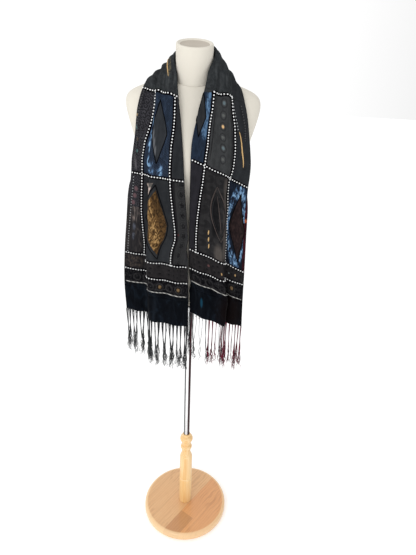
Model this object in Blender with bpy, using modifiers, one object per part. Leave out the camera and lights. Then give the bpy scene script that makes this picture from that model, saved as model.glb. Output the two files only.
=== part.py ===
"""A beaded patchwork scarf with knotted fringe, hung round the neck of a plain dress form on a turned stand.

Metres, +Z up. The origin is the centre of the base's underside and the front faces -Y.
"""

import math

import bmesh
import bpy
import numpy as np
from mathutils import Vector
from mathutils.bvhtree import BVHTree

# Driving dimensions of the stand
SEAT_GAP = 0.0003
BASE_RADIUS = 0.163
BASE_HEIGHT = 0.028
BASE_EDGE = 0.011
COLUMN_RADIUS = 0.0245
COLUMN_TOP = 0.374
POLE_RADIUS = 0.011
POLE_BOTTOM = 0.240
BORE_RADIUS = POLE_RADIUS + SEAT_GAP

# Driving dimensions of the form
TORSO_BOTTOM = 0.965
NECK_SEAM = 1.600
NECK_TILT = math.radians(17.5)
NECK_HEIGHT = 0.088
NECK_RADIUS = 0.0487
NECK_SEAT_RADIUS = 0.053
NECK_DEPTH_RATIO = 1.06
SOCKET_LENGTH = 0.045

# Driving dimensions of the scarf, measured flat
SCARF_LENGTH = 1.784
SCARF_WIDTH = 0.240
WALL = 0.0016
END_BAND = 0.085
NECK_JOIN = 0.655
CLOTH_CLEARANCE = 0.0042
HALF_LENGTH = SCARF_LENGTH / 2

# Driving dimensions of the fringe
FRINGE_LENGTH = 0.150
HEADING_HEIGHT = 0.007
LOCK_WIDTH = 0.0046
LOCK_SHARE = 0.42
EDGE_LOCK_SHARE = 0.8
LOCK_RINGS = [
    # share of the length, share of the width
    (0.06, 0.8),
    (0.30, 1.0),
    (0.65, 0.85),
    (1.00, 0.3),
]

# The torso's rings from the hip upwards. tilt is the ring plane's forward lean in degrees.
TORSO_RINGS = [
    # height, half_width, front, back, squareness, tilt
    (0.9650, 0.1500, 0.0980, 0.1020, 2.3, 0),
    (0.9850, 0.1600, 0.1060, 0.1100, 2.3, 0),
    (1.0400, 0.1660, 0.1100, 0.1150, 2.3, 0),
    (1.1200, 0.1500, 0.1040, 0.1000, 2.2, 0),
    (1.2000, 0.1240, 0.0900, 0.0800, 2.2, 0),
    (1.2350, 0.1200, 0.0880, 0.0770, 2.2, 0),
    (1.2900, 0.1300, 0.0980, 0.0840, 2.2, 0),
    (1.3400, 0.1430, 0.1125, 0.0900, 2.2, 0),
    (1.3720, 0.1480, 0.1185, 0.0925, 2.2, 0),
    (1.4000, 0.1510, 0.1185, 0.0935, 2.3, 0),
    (1.4350, 0.1570, 0.1120, 0.0940, 2.3, 0),
    (1.4700, 0.1690, 0.1000, 0.0920, 2.3, 0),
    (1.5100, 0.1810, 0.0850, 0.0860, 2.3, 0),
    (1.5450, 0.1870, 0.0700, 0.0760, 2.2, 2),
    (1.5660, 0.1760, 0.0600, 0.0670, 2.2, 5),
    (1.5800, 0.1470, 0.0540, 0.0600, 2.1, 9),
    (1.5900, 0.1080, 0.0520, 0.0570, 2.0, 13),
    (1.5960, 0.0780, 0.0535, 0.0560, 2.0, 16),
]

# Where the scarf's two visible edges run. from_hem is the flat distance from that end's hem. tuck_in
# and tuck_out are the widths turned under at the neck side and the arm side. step is how much of
# the rest goes into the one deep fold, and wave how much into soft ripples.
LEFT_SECTIONS = [
    # from_hem, inner x, y, z, outer x, y, z, tuck_in, tuck_out, step, wave
    (0.000, -0.0030, -0.1370, 0.9180, -0.1960, -0.060, 0.938, 0.000, 0.000, 1.00, 0.16),
    (0.085, -0.0035, -0.1370, 1.0020, -0.1990, -0.062, 1.022, 0.000, 0.000, 1.00, 0.16),
    (0.181, -0.0060, -0.1370, 1.0970, -0.1950, -0.064, 1.116, 0.000, 0.000, 1.00, 0.18),
    (0.300, -0.0130, -0.1365, 1.2150, -0.1840, -0.068, 1.232, 0.014, 0.000, 1.00, 0.20),
    (0.418, -0.0230, -0.1350, 1.3320, -0.1710, -0.070, 1.349, 0.028, 0.006, 0.95, 0.22),
    (0.500, -0.0280, -0.1250, 1.4110, -0.1560, -0.068, 1.430, 0.042, 0.014, 0.85, 0.30),
    (0.580, -0.0345, -0.1060, 1.4870, -0.1440, -0.060, 1.508, 0.058, 0.022, 0.55, 0.30),
    (0.655, -0.0430, -0.0830, 1.5580, -0.1290, -0.036, 1.576, 0.068, 0.032, 0.30, 0.25),
    (0.710, -0.0480, -0.0450, 1.6060, -0.1180, -0.002, 1.602, 0.076, 0.040, 0.15, 0.25),
    (0.770, -0.0530, -0.0080, 1.6540, -0.0920, 0.046, 1.608, 0.080, 0.045, 0.10, 0.25),
    (0.830, -0.0400, 0.0360, 1.6720, -0.0520, 0.084, 1.590, 0.072, 0.042, 0.05, 0.25),
    (0.892, 0.0000, 0.0500, 1.6740, 0.0000, 0.096, 1.580, 0.068, 0.038, 0.05, 0.25),
]
RIGHT_SECTIONS = [
    # from_hem, inner x, y, z, outer x, y, z, tuck_in, tuck_out, step, wave
    (0.000, 0.0010, -0.1250, 0.9630, 0.1640, -0.100, 0.902, 0.000, 0.000, 1.00, 0.30),
    (0.085, 0.0005, -0.1250, 1.0450, 0.1620, -0.096, 0.986, 0.004, 0.000, 1.00, 0.28),
    (0.181, -0.0005, -0.1255, 1.1380, 0.1610, -0.094, 1.080, 0.022, 0.000, 1.00, 0.28),
    (0.300, -0.0010, -0.1270, 1.2540, 0.1590, -0.090, 1.197, 0.030, 0.000, 1.00, 0.28),
    (0.418, -0.0010, -0.1270, 1.3700, 0.1575, -0.086, 1.313, 0.034, 0.006, 0.90, 0.28),
    (0.500, 0.0020, -0.1210, 1.4490, 0.1560, -0.081, 1.393, 0.040, 0.012, 0.75, 0.30),
    (0.580, 0.0160, -0.1080, 1.5160, 0.1470, -0.070, 1.469, 0.054, 0.018, 0.55, 0.30),
    (0.655, 0.0320, -0.0850, 1.5800, 0.1290, -0.052, 1.543, 0.066, 0.026, 0.30, 0.25),
    (0.710, 0.0420, -0.0520, 1.6280, 0.1190, -0.028, 1.579, 0.074, 0.037, 0.15, 0.25),
    (0.770, 0.0530, -0.0120, 1.6720, 0.1040, 0.010, 1.606, 0.080, 0.046, 0.10, 0.25),
    (0.830, 0.0420, 0.0340, 1.6820, 0.0610, 0.078, 1.598, 0.074, 0.044, 0.05, 0.25),
]
# The deep fold's place across the visible cloth, from the inner edge, on each side of the body
STEP_CENTRE = {"left": 0.60, "right": 0.62}
STEP_HALF_WIDTH = 0.20
RIPPLES = 3
FOLD_ARC = 0.010
FLAT_ARC = 0.003
FOLD_TURN = math.radians(172)
FULL_TUCK = 0.012
TUCK_LAYER = 0.0055
TUCK_LEAST = 0.002
HIDDEN_SHARE = 0.78
# How many faces make each stretch of a section: tucked strip, its fold, the visible cloth, and back
STRIP_STEPS, FOLD_STEPS, OPEN_STEPS = 3, 3, 20
ACROSS_STEPS = 2 * (STRIP_STEPS + FOLD_STEPS) + OPEN_STEPS
FINE = 4
DRAG_ROUNDS = 8


def clear_scene():
    """Empties the file so that the script can be run again."""
    for thing in list(bpy.data.objects):
        bpy.data.objects.remove(thing, do_unlink=True)


def make_material(name, colour, roughness, metallic=0.0):
    """A plain Principled material in the piece's own colour."""
    material = bpy.data.materials.new(name)
    material.use_nodes = True
    shader = material.node_tree.nodes["Principled BSDF"]
    shader.inputs["Base Color"].default_value = (*colour, 1.0)
    shader.inputs["Roughness"].default_value = roughness
    shader.inputs["Metallic"].default_value = metallic
    return material


def add_mesh(name, points, faces, material):
    """A named object from points and faces, smooth but for its sharp edges."""
    mesh = bpy.data.meshes.new(name)
    mesh.from_pydata([tuple(p) for p in points], [], faces)
    mesh.materials.append(material)
    mesh.shade_smooth()
    mesh.set_sharp_from_angle(angle=math.radians(40))
    piece = bpy.data.objects.new(name, mesh)
    scarf_collection.objects.link(piece)
    return piece


def turned(name, profile, sides, material):
    """A lathe-turned piece: the profile's radius and height pairs spun round Z."""
    mesh = bpy.data.meshes.new(name)
    edges = [(i, i + 1) for i in range(len(profile) - 1)]
    mesh.from_pydata([(radius, 0.0, height) for radius, height in profile], edges, [])
    mesh.materials.append(material)
    piece = bpy.data.objects.new(name, mesh)
    scarf_collection.objects.link(piece)
    screw = piece.modifiers.new("Turn", "SCREW")
    screw.steps = sides
    screw.render_steps = sides
    screw.use_merge_vertices = True
    screw.merge_threshold = 0.0001
    screw.use_smooth_shade = True
    return piece


def arc(centre_radius, centre_height, radius, start, end, count):
    """Points of a round edge in a turned profile, from one angle in degrees to another."""
    angles = np.radians(np.linspace(start, end, count))
    return [(centre_radius + radius * math.cos(a), centre_height + radius * math.sin(a)) for a in angles]


def build_base():
    """The round wooden foot, with a softly rounded rim and a flat underside."""
    rim = BASE_RADIUS - BASE_EDGE
    profile = [(0.0, BASE_HEIGHT)]
    profile += arc(rim, BASE_HEIGHT - BASE_EDGE, BASE_EDGE, 90, 0, 6)
    profile += [(BASE_RADIUS, 0.004), (BASE_RADIUS - 0.004, 0.0), (0.0, 0.0)]
    return turned("stand_base", profile, 48, light_wood)


def build_column():
    """The turned wooden post: a plain shaft, a cove, a bead and a round knob bored for the pole."""
    foot = BASE_HEIGHT + SEAT_GAP
    profile = [(0.0, POLE_BOTTOM - SEAT_GAP), (BORE_RADIUS, POLE_BOTTOM - SEAT_GAP)]
    profile += [(BORE_RADIUS, COLUMN_TOP), (0.0135, COLUMN_TOP)]
    profile += arc(0.0075, 0.351, 0.0165, 62, -50, 7)
    profile += [(0.0170, 0.3325), (0.0170, 0.3290)]
    profile += arc(0.0100, 0.3110, 0.0115, 62, -62, 6)
    profile += [(0.0165, 0.2950), (0.0165, 0.2830), (0.0215, 0.2700), (COLUMN_RADIUS - 0.001, 0.2620)]
    profile += [(COLUMN_RADIUS - 0.0005, 0.1545), (COLUMN_RADIUS - 0.0025, 0.1525)]
    profile += [(COLUMN_RADIUS - 0.0025, 0.1495), (COLUMN_RADIUS, 0.1475)]
    profile += [(COLUMN_RADIUS, foot + 0.001), (COLUMN_RADIUS - 0.001, foot), (0.0, foot)]
    return turned("stand_column", profile, 20, pine)


def build_pole():
    """The straight chromed tube from the column's bore to the socket under the form."""
    top = TORSO_BOTTOM - SEAT_GAP - 0.010
    bpy.ops.mesh.primitive_cylinder_add(
        vertices=20, radius=POLE_RADIUS, depth=top - POLE_BOTTOM, location=(0, 0, (top + POLE_BOTTOM) / 2)
    )
    pole = bpy.context.object
    pole.name = "stand_pole"
    pole.data.materials.append(chrome)
    pole.data.shade_smooth()
    pole.data.set_sharp_from_angle(angle=math.radians(40))
    for collection in list(pole.users_collection):
        collection.objects.unlink(pole)
    scarf_collection.objects.link(pole)
    return pole


def build_socket():
    """The flanged socket that carries the form on the pole."""
    top = TORSO_BOTTOM - SEAT_GAP
    floor = top - 0.010 + SEAT_GAP
    bottom = top - SOCKET_LENGTH
    profile = [(0.0, top), (0.034, top), (0.036, top - 0.002), (0.036, top - 0.005), (0.020, top - 0.009)]
    profile += [(0.0165, top - 0.014), (0.0165, bottom + 0.001), (0.0155, bottom)]
    profile += [(BORE_RADIUS, bottom), (BORE_RADIUS, floor), (0.0, floor)]
    return turned("form_socket", profile, 20, dark_plastic)


def torso_ring(height, half_width, front, back, squareness, tilt, sides):
    """One closed ring of the torso, rounder or squarer with its exponent, leaning by its tilt."""
    ring = []
    for i in range(sides):
        angle = 2 * math.pi * i / sides
        across, deep = math.cos(angle), math.sin(angle)
        x = half_width * math.copysign(abs(across) ** (2 / squareness), across)
        y = (back if deep > 0 else front) * math.copysign(abs(deep) ** (2 / squareness), deep)
        lean = math.radians(tilt)
        ring.append((x, y * math.cos(lean), height + y * math.sin(lean)))
    return ring


def build_torso():
    """The padded torso: a loft through its rings, closed below and flat at the neck seam."""
    sides = 36
    heights = [row[0] for row in TORSO_RINGS]
    rings = [torso_ring(*row, sides) for row in TORSO_RINGS]
    seam = torso_ring(NECK_SEAM, NECK_SEAT_RADIUS, NECK_SEAT_RADIUS, NECK_SEAT_RADIUS, 2.0,
                      math.degrees(NECK_TILT), sides)
    foot = [(x * 0.93, y * 0.93, heights[0]) for x, y, z in rings[0]]
    rings[0] = [(x, y, z + 0.004) for x, y, z in rings[0]]
    rings = [foot] + rings + [seam]
    points = [p for ring in rings for p in ring]
    faces = []
    for k in range(len(rings) - 1):
        for i in range(sides):
            j = (i + 1) % sides
            faces.append((k * sides + i, k * sides + j, (k + 1) * sides + j, (k + 1) * sides + i))
    faces.append(tuple(range(sides - 1, -1, -1)))
    faces.append(tuple(range((len(rings) - 1) * sides, len(rings) * sides)))
    return add_mesh("form_torso", points, faces, cream_fabric)


def build_neck():
    """The neck with its shallow dished cap, seated on the tilted seam of the torso."""
    rim = NECK_HEIGHT
    profile = [(0.0, rim - 0.0045), (0.036, rim - 0.0040), (0.0415, rim - 0.0010), (0.0450, rim)]
    profile += [(NECK_RADIUS - 0.0006, rim - 0.0020), (NECK_RADIUS, rim - 0.0060)]
    profile += [(NECK_RADIUS, 0.040), (NECK_RADIUS + 0.0016, 0.018), (NECK_SEAT_RADIUS, SEAT_GAP)]
    profile += [(0.0, SEAT_GAP)]
    neck = turned("form_neck", profile, 32, cream_fabric)
    neck.location = (0, 0, NECK_SEAM)
    neck.rotation_euler = (NECK_TILT, 0, 0)
    neck.scale = (1, NECK_DEPTH_RATIO, 1)
    return neck


def form_tree(pieces):
    """The form's surface as one search tree, so that the cloth can be laid just outside it.

    The faces that meet inside, where the neck sits on the torso, are no part of that surface.
    """
    bpy.context.view_layer.update()
    depsgraph = bpy.context.evaluated_depsgraph_get()
    seam_normal = Vector((0, -math.sin(NECK_TILT), math.cos(NECK_TILT)))
    seam_height = Vector((0, 0, NECK_SEAM)).dot(seam_normal)
    points = []
    faces = []
    for piece in pieces:
        seen = piece.evaluated_get(depsgraph)
        mesh = seen.to_mesh()
        first = len(points)
        points += [seen.matrix_world @ vertex.co for vertex in mesh.vertices]
        at_seam = [abs(point.dot(seam_normal) - seam_height) < 0.001 for point in points]
        for polygon in mesh.polygons:
            face = tuple(first + i for i in polygon.vertices)
            if not all(at_seam[i] for i in face):
                faces.append(face)
        seen.to_mesh_clear()
    return BVHTree.FromPolygons(points, faces)


def section_table():
    """Both sides' rows as one table along the scarf, from the left hem to the right hem."""
    left = [list(row) for row in LEFT_SECTIONS]
    right = [[SCARF_LENGTH - row[0], *row[1:]] for row in reversed(RIGHT_SECTIONS)]
    return np.array(left + right)


def section_at(along):
    """One section's row at a distance along the scarf, by cubic interpolation of the table."""
    stations = SECTIONS[:, 0]
    k = int(np.clip(np.searchsorted(stations, along) - 1, 0, len(stations) - 2))
    span = stations[k + 1] - stations[k]
    t = (along - stations[k]) / span
    row = (2 * t**3 - 3 * t**2 + 1) * SECTIONS[k] + (t**3 - 2 * t**2 + t) * SECTION_SLOPES[k] * span
    row += (3 * t**2 - 2 * t**3) * SECTIONS[k + 1] + (t**3 - t**2) * SECTION_SLOPES[k + 1] * span
    return row[1:4], row[4:7], row[7:9].clip(0.0), row[9], row[10]


def fold_turns(step, wave, along):
    """How far the visible cloth turns out of the section's line at each point across it, unscaled."""
    side = 0.5 - 0.5 * math.tanh((along - HALF_LENGTH) / 0.1)
    centre = side * STEP_CENTRE["left"] + (1 - side) * STEP_CENTRE["right"]
    across = (np.arange(OPEN_STEPS * FINE) + 0.5) / (OPEN_STEPS * FINE)
    reach = np.clip((across - centre) / STEP_HALF_WIDTH, -1, 1)
    deep_fold = -(1 + np.cos(math.pi * reach)) / 2
    warped = across + 0.05 * math.sin(5.1 * along + 0.6) * np.sin(2 * math.pi * across)
    ripples = np.sin(2 * math.pi * RIPPLES * warped) * (1 + 0.3 * np.cos(2 * math.pi * (across - along)))
    return step * deep_fold + wave * ripples


def run_of(turns, length):
    """A flat line's points, forward and outward, for these turning angles over this length."""
    forward = np.concatenate([[0], np.cumsum(np.cos(turns))])
    outward = np.concatenate([[0], np.cumsum(np.sin(turns))])
    return np.stack([forward, outward], 1) * length / len(turns)


def fitted_line(turns, length, chord):
    """The visible cloth as a flat line whose folds are scaled until its two ends lie a chord apart."""
    low, high = 0.0, 2.6
    for _ in range(40):
        middle = (low + high) / 2
        if np.linalg.norm(run_of(turns * middle, length)[-1]) > chord:
            low = middle
        else:
            high = middle
    line = run_of(turns * middle, length)
    reach = np.linalg.norm(line[-1])
    forward, outward = line[-1] / reach
    level = line @ np.array([[forward, -outward], [outward, forward]]) * chord / reach
    return level, turns * middle - math.atan2(outward, forward)


def tuck_lengths(tuck):
    """How far a tucked edge has turned, from 0 to 1, with the lengths of its fold and of its strip."""
    amount = min(tuck / FULL_TUCK, 1.0)
    turned_share = amount * amount * (3 - 2 * amount)
    return turned_share, FLAT_ARC + (FOLD_ARC - FLAT_ARC) * turned_share, tuck + TUCK_LEAST


def tucked_strip(start, heading, bends, spacing, sense, edge_size):
    """The points beyond one visible edge: the cloth folds round to its underside and follows it back."""
    turned_share, arc_length, strip_length = edge_size
    turn = sense * FOLD_TURN * turned_share
    stride = strip_length / STRIP_STEPS / FINE
    moves = [(heading + turn * (k + 0.5) / FOLD_STEPS, arc_length / FOLD_STEPS) for k in range(FOLD_STEPS)]
    for k in range(STRIP_STEPS * FINE):
        bend = bends[min(int((k + 0.5) * stride / spacing), len(bends) - 1)]
        moves.append((heading + turn + bend * turned_share, stride))
    steps = np.array([[distance * math.cos(angle), distance * math.sin(angle)] for angle, distance in moves])
    points = start + np.cumsum(steps, axis=0)
    return list(points[:FOLD_STEPS]) + list(points[FOLD_STEPS + FINE - 1::FINE])


def section_points(along):
    """The cloth's middle line across the scarf at one station, with each point's clearance from the form.

    At the neck the two turned-under strips would cross, so both stop short of each other.
    """
    inner, outer, tucks, step, wave = section_at(along)
    ahead = np.subtract(*[sum(section_at(along + d)[:2]) for d in (0.004, -0.004)])
    edge_sizes = [tuck_lengths(tuck) for tuck in tucks]
    flat_edges = [(1 - turned_share) * (arc + strip) for turned_share, arc, strip in edge_sizes]
    chord_line = (outer - inner) / np.linalg.norm(outer - inner)
    inner = inner + chord_line * flat_edges[0]
    chord = np.linalg.norm(outer - inner) - flat_edges[1]
    length = SCARF_WIDTH - sum(arc + strip for _, arc, strip in edge_sizes)
    kept = min(1.0, HIDDEN_SHARE * chord / sum(strip for _, _, strip in edge_sizes))
    edge_sizes = [(turned_share, arc, strip * kept) for turned_share, arc, strip in edge_sizes]

    fine_line, headings = fitted_line(fold_turns(step, wave, along), length, chord)
    spacing = length / len(headings)
    bends = headings - headings[0]
    back = tucked_strip(fine_line[0], headings[0] + math.pi, bends, spacing, 1, edge_sizes[0])
    bends = headings[::-1] - headings[-1]
    on = tucked_strip(fine_line[-1], headings[-1], bends, spacing, -1, edge_sizes[1])
    line = fine_line[::FINE]
    flat = np.array(back[::-1] + list(line) + on)

    out = np.cross(ahead, chord_line)
    out /= np.linalg.norm(out)
    points = inner + np.outer(flat[:, 0], chord_line) + np.outer(flat[:, 1], out)
    from_edge = np.array([np.linalg.norm(line - line[0], axis=1), np.linalg.norm(line - line[-1], axis=1)])
    over_tuck = (tucks[:, None] / 0.02).clip(0, 1) * (from_edge / 0.012).clip(0, 1)
    edge = len(back)
    clearance = np.full(len(flat), CLOTH_CLEARANCE)
    clearance[edge:edge + len(line)] += TUCK_LAYER * over_tuck.max(axis=0)
    return points, clearance


def moved_off_form(place, clearance, tree):
    """The move that takes a point outside the form to its clearance, or none if it is there already."""
    nearest, normal, _, distance = tree.find_nearest(place)
    inside = (place - nearest).dot(normal) < 0
    if inside or distance < clearance:
        return nearest + normal * clearance - place
    return Vector()


def laid_section(points, clearances, tree):
    """One section kept off the form. A point that moves draws its neighbours along, so folds keep shape."""
    row = [Vector(point) for point in points]
    for _ in range(DRAG_ROUNDS):
        moves = [moved_off_form(place, gap, tree) for place, gap in zip(row, clearances)]
        padded = moves[:1] + moves + moves[-1:]
        row = [place + (a + 2 * b + c) / 4 for place, a, b, c in zip(row, padded, moves, padded[2:])]
    return [place + moved_off_form(place, gap, tree) for place, gap in zip(row, clearances)]


def cloth_frames(tree):
    """The whole scarf's middle surface, a row for each station: place, outward normal and run along it.

    A row on a seam has one run for all its points, so the two cut pieces are parted evenly there.
    """
    grid = [laid_section(*section_points(along), tree) for along in STATIONS]
    frames = []
    for r, row in enumerate(grid):
        behind, ahead = grid[max(r - 1, 0)], grid[min(r + 1, len(grid) - 1)]
        runs = [(end - start).normalized() for start, end in zip(behind, ahead)]
        if r in SEAM_ROWS:
            runs = [sum(runs, Vector()).normalized()] * len(runs)
        line = []
        for c, (point, run) in enumerate(zip(row, runs)):
            across = row[min(c + 1, ACROSS_STEPS)] - row[max(c - 1, 0)]
            line.append((point, run.cross(across).normalized(), run))
        frames.append(line)
    return frames


def build_cloth(name, frames, material):
    """One cut piece of the scarf between two seams: two skins half a wall either side of its middle."""
    count = ACROSS_STEPS + 1
    rows = len(frames) - 1
    outer = []
    inner = []
    for r, line in enumerate(frames):
        parted = {0: SEAT_GAP / 2, rows: -SEAT_GAP / 2}.get(r, 0.0)
        for point, normal, run in line:
            outer.append(point + run * parted + normal * WALL / 2)
            inner.append(point + run * parted - normal * WALL / 2)
    under = len(outer)
    faces = []
    for r in range(rows):
        for c in range(ACROSS_STEPS):
            a = r * count + c
            quad = (a, a + 1, a + count + 1, a + count)
            faces.append(quad[::-1])
            faces.append(tuple(under + i for i in quad))
    last = rows * count
    for a in range(ACROSS_STEPS):
        b = last + a
        faces.append((a, a + 1, under + a + 1, under + a))
        faces.append((b, under + b, under + b + 1, b + 1))
    for a in range(0, last, count):
        b = a + ACROSS_STEPS
        faces.append((a + count, a, under + a, under + a + count))
        faces.append((b, b + count, under + b + count, under + b))
    return add_mesh(name, outer + inner, faces, material)


def lock_bend(index):
    """How far a lock's tip drifts along the hem and outward, and its length, in a fixed uneven pattern."""
    drift = 0.0022 * math.sin(2.39 * index + 0.4)
    out = 0.004 * math.sin(1.71 * index + 1.1)
    length = FRINGE_LENGTH * (1 + 0.07 * math.sin(3.1 * index) + 0.03 * math.sin(7.7 * index))
    return drift, out, length


def build_fringe(name, frames, inward, material):
    """The heading strip below one hem, with one tapering lock grown from each step across the cloth."""
    edge = STRIP_STEPS + FOLD_STEPS
    hem = [frames[0]] + frames[edge:edge + OPEN_STEPS + 1] + [frames[-1]]
    steps = len(hem) - 1
    mesh = bmesh.new()
    posts = []
    for k in range(steps * 3 + 1):
        step, part = divmod(k, 3)
        root = EDGE_LOCK_SHARE if step in (0, steps - 1) else LOCK_SHARE
        share = (0.0, 0.5 - root / 2, 0.5 + root / 2)[part]
        start, end = hem[step], hem[min(step + 1, steps)]
        place, normal, run = [a.lerp(b, share) for a, b in zip(start, end)]
        out = normal * WALL / 2
        top = place - run * inward * SEAT_GAP
        low = place - run * inward * HEADING_HEIGHT
        posts.append([mesh.verts.new(p) for p in (top + out, top - out, low - out, low + out)])
    for number, (first, last) in enumerate(zip(posts, posts[1:])):
        for side in range(4):
            if side == 2 and number % 3 == 1:
                continue
            after = (side + 1) % 4
            mesh.faces.new((first[side], first[after], last[after], last[side]))
    mesh.faces.new(posts[0])
    mesh.faces.new(posts[-1])
    for i in range(steps):
        first, last = posts[3 * i + 1], posts[3 * i + 2]
        ring = [first[2], first[3], last[3], last[2]]
        root = sum((vertex.co for vertex in ring), Vector()) / 4
        along = (last[2].co - first[2].co).normalized()
        out = (first[3].co - first[2].co).normalized()
        drift, lean, length = lock_bend(i)
        for share, width in LOCK_RINGS:
            sway = drift * math.sin(2.2 * share) + 0.0012 * math.sin(9 * share + i)
            spot = root + along * sway + out * lean * share**2 - Vector((0, 0, length * share))
            wide, deep = along * LOCK_WIDTH / 2 * width, out * LOCK_WIDTH / 2 * width * 0.9
            corners = (spot - wide - deep, spot - wide + deep, spot + wide + deep, spot + wide - deep)
            fresh = [mesh.verts.new(corner) for corner in corners]
            for side in range(4):
                after = (side + 1) % 4
                mesh.faces.new((ring[side], ring[after], fresh[after], fresh[side]))
            ring = fresh
        mesh.faces.new(ring)
    bmesh.ops.recalc_face_normals(mesh, faces=mesh.faces)
    data = bpy.data.meshes.new(name)
    mesh.to_mesh(data)
    mesh.free()
    data.materials.append(material)
    piece = bpy.data.objects.new(name, data)
    scarf_collection.objects.link(piece)
    return piece


clear_scene()
scarf_collection = bpy.data.collections.new("scarf_on_dress_form")
bpy.context.scene.collection.children.link(scarf_collection)

light_wood = make_material("light_wood", (0.60, 0.36, 0.18), 0.45)
pine = make_material("pine", (0.70, 0.40, 0.16), 0.4)
chrome = make_material("chrome", (0.75, 0.76, 0.78), 0.12, 1.0)
dark_plastic = make_material("dark_plastic", (0.05, 0.05, 0.05), 0.5)
cream_fabric = make_material("cream_fabric", (0.82, 0.78, 0.70), 0.85)
charcoal_cloth = make_material("charcoal_cloth", (0.03, 0.03, 0.035), 0.8)
black_velvet = make_material("black_velvet", (0.008, 0.008, 0.012), 0.7)
black_fringe = make_material("black_fringe", (0.02, 0.02, 0.022), 0.6)
wine_fringe = make_material("wine_fringe", (0.10, 0.015, 0.03), 0.6)

SECTIONS = section_table()
SECTION_SLOPES = np.gradient(SECTIONS, SECTIONS[:, 0], axis=0)
SCARF_PIECES = [
    # name, where it ends along the scarf, rows of faces, material
    ("left_end_band", END_BAND, 3, black_velvet),
    ("scarf_left", NECK_JOIN, 18, charcoal_cloth),
    ("scarf_neck", SCARF_LENGTH - NECK_JOIN, 22, charcoal_cloth),
    ("scarf_right", SCARF_LENGTH - END_BAND, 18, charcoal_cloth),
    ("right_end_band", SCARF_LENGTH, 3, black_velvet),
]
STATIONS = [0.0]
SEAM_ROWS = [0]
for _, piece_end, piece_rows, _ in SCARF_PIECES:
    STATIONS += list(np.linspace(STATIONS[-1], piece_end, piece_rows + 1)[1:])
    SEAM_ROWS.append(SEAM_ROWS[-1] + piece_rows)

build_base()
build_column()
build_pole()
build_socket()
torso = build_torso()
neck = build_neck()
form = form_tree([torso, neck])

cloth = cloth_frames(form)
for (name, *_, material), first_row, last_row in zip(SCARF_PIECES, SEAM_ROWS, SEAM_ROWS[1:]):
    build_cloth(name, cloth[first_row:last_row + 1], material)
build_fringe("left_fringe", cloth[0], 1, black_fringe)
build_fringe("right_fringe", cloth[-1], -1, wine_fringe)
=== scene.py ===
"""A beaded patchwork scarf with knotted fringe, hung round the neck of a plain dress form on a stand."""

import math

import bpy
import numpy as np
from mathutils import Matrix, Vector
from mathutils.bvhtree import BVHTree


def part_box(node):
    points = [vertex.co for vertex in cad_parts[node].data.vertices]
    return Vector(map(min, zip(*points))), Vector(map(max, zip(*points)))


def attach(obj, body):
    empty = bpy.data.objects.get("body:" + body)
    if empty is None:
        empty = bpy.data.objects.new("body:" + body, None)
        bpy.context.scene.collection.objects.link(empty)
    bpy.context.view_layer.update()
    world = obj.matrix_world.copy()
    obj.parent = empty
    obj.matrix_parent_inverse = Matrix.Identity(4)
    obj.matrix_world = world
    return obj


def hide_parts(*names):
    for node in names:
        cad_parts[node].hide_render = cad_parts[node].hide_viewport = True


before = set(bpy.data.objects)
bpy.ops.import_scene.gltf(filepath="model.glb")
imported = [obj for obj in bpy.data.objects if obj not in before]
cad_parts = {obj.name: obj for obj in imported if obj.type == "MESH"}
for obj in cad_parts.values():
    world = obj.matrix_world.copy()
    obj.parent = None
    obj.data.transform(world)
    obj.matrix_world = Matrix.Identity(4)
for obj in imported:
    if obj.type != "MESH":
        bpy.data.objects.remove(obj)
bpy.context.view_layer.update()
bpy.ops.object.select_all(action="DESELECT")

# The round foot
# A disc of glued oak staves, 326 mm across and 28 mm thick, turned with a rounded rim and varnished.
# It is a disc extruded ring by ring. The wide staves run aslant and differ in tone.


def add_node(tree, kind, sockets=None, **settings):
    """One shader node with its settings, each named socket holding a value or linked to an output."""
    made = tree.nodes.new(kind)
    for name, value in settings.items():
        setattr(made, name, value)
    for name, value in (sockets or {}).items():
        if isinstance(value, bpy.types.NodeSocket):
            tree.links.new(value, made.inputs[name])
        else:
            made.inputs[name].default_value = value
    return made


def sums(tree, operation, *values):
    """The result of one Math node."""
    return add_node(tree, "ShaderNodeMath", dict(enumerate(values)), operation=operation).outputs[0]


def times(tree, first, second):
    """Two amounts multiplied."""
    return sums(tree, "MULTIPLY", first, second)


def plus(tree, first, second):
    """Two amounts added."""
    return sums(tree, "ADD", first, second)


def step_between(tree, amount, low, high):
    """0 below the low value, 1 above the high one, and smooth between."""
    sockets = {"Value": amount, "From Min": low, "From Max": high}
    return add_node(tree, "ShaderNodeMapRange", sockets, interpolation_type="SMOOTHSTEP").outputs[0]


def shades(tree, amount, *stops):
    """A colour for each amount from 0 to 1, from a short list of places and colours."""
    ramp = add_node(tree, "ShaderNodeValToRGB", {"Fac": amount})
    elements = ramp.color_ramp.elements
    while len(elements) < len(stops):
        elements.new(0.5)
    for element, (place, colour) in zip(elements, stops):
        element.position = place
        element.color = (*colour, 1)
    return ramp.outputs["Color"]


def blended(tree, amount, first, second):
    """Two colours mixed by an amount."""
    made = add_node(tree, "ShaderNodeMix", {0: amount}, data_type="RGBA")
    for socket, colour in ((made.inputs[6], first), (made.inputs[7], second)):
        if isinstance(colour, bpy.types.NodeSocket):
            tree.links.new(colour, socket)
        else:
            socket.default_value = (*colour, 1)
    return made.outputs[2]


def tinted(tree, colour, mask, share, tint):
    """A colour with some of another laid over it where a mask is."""
    return blended(tree, times(tree, mask, share), colour, tint)


def coloured(tree, shader, colour):
    """Gives the shader its colour."""
    tree.links.new(colour, shader.inputs["Base Color"])


def stretched(tree, vector, scale):
    """A vector with each of its three numbers multiplied."""
    return add_node(tree, "ShaderNodeVectorMath", {0: vector, 1: scale}, operation="MULTIPLY").outputs[0]


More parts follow.
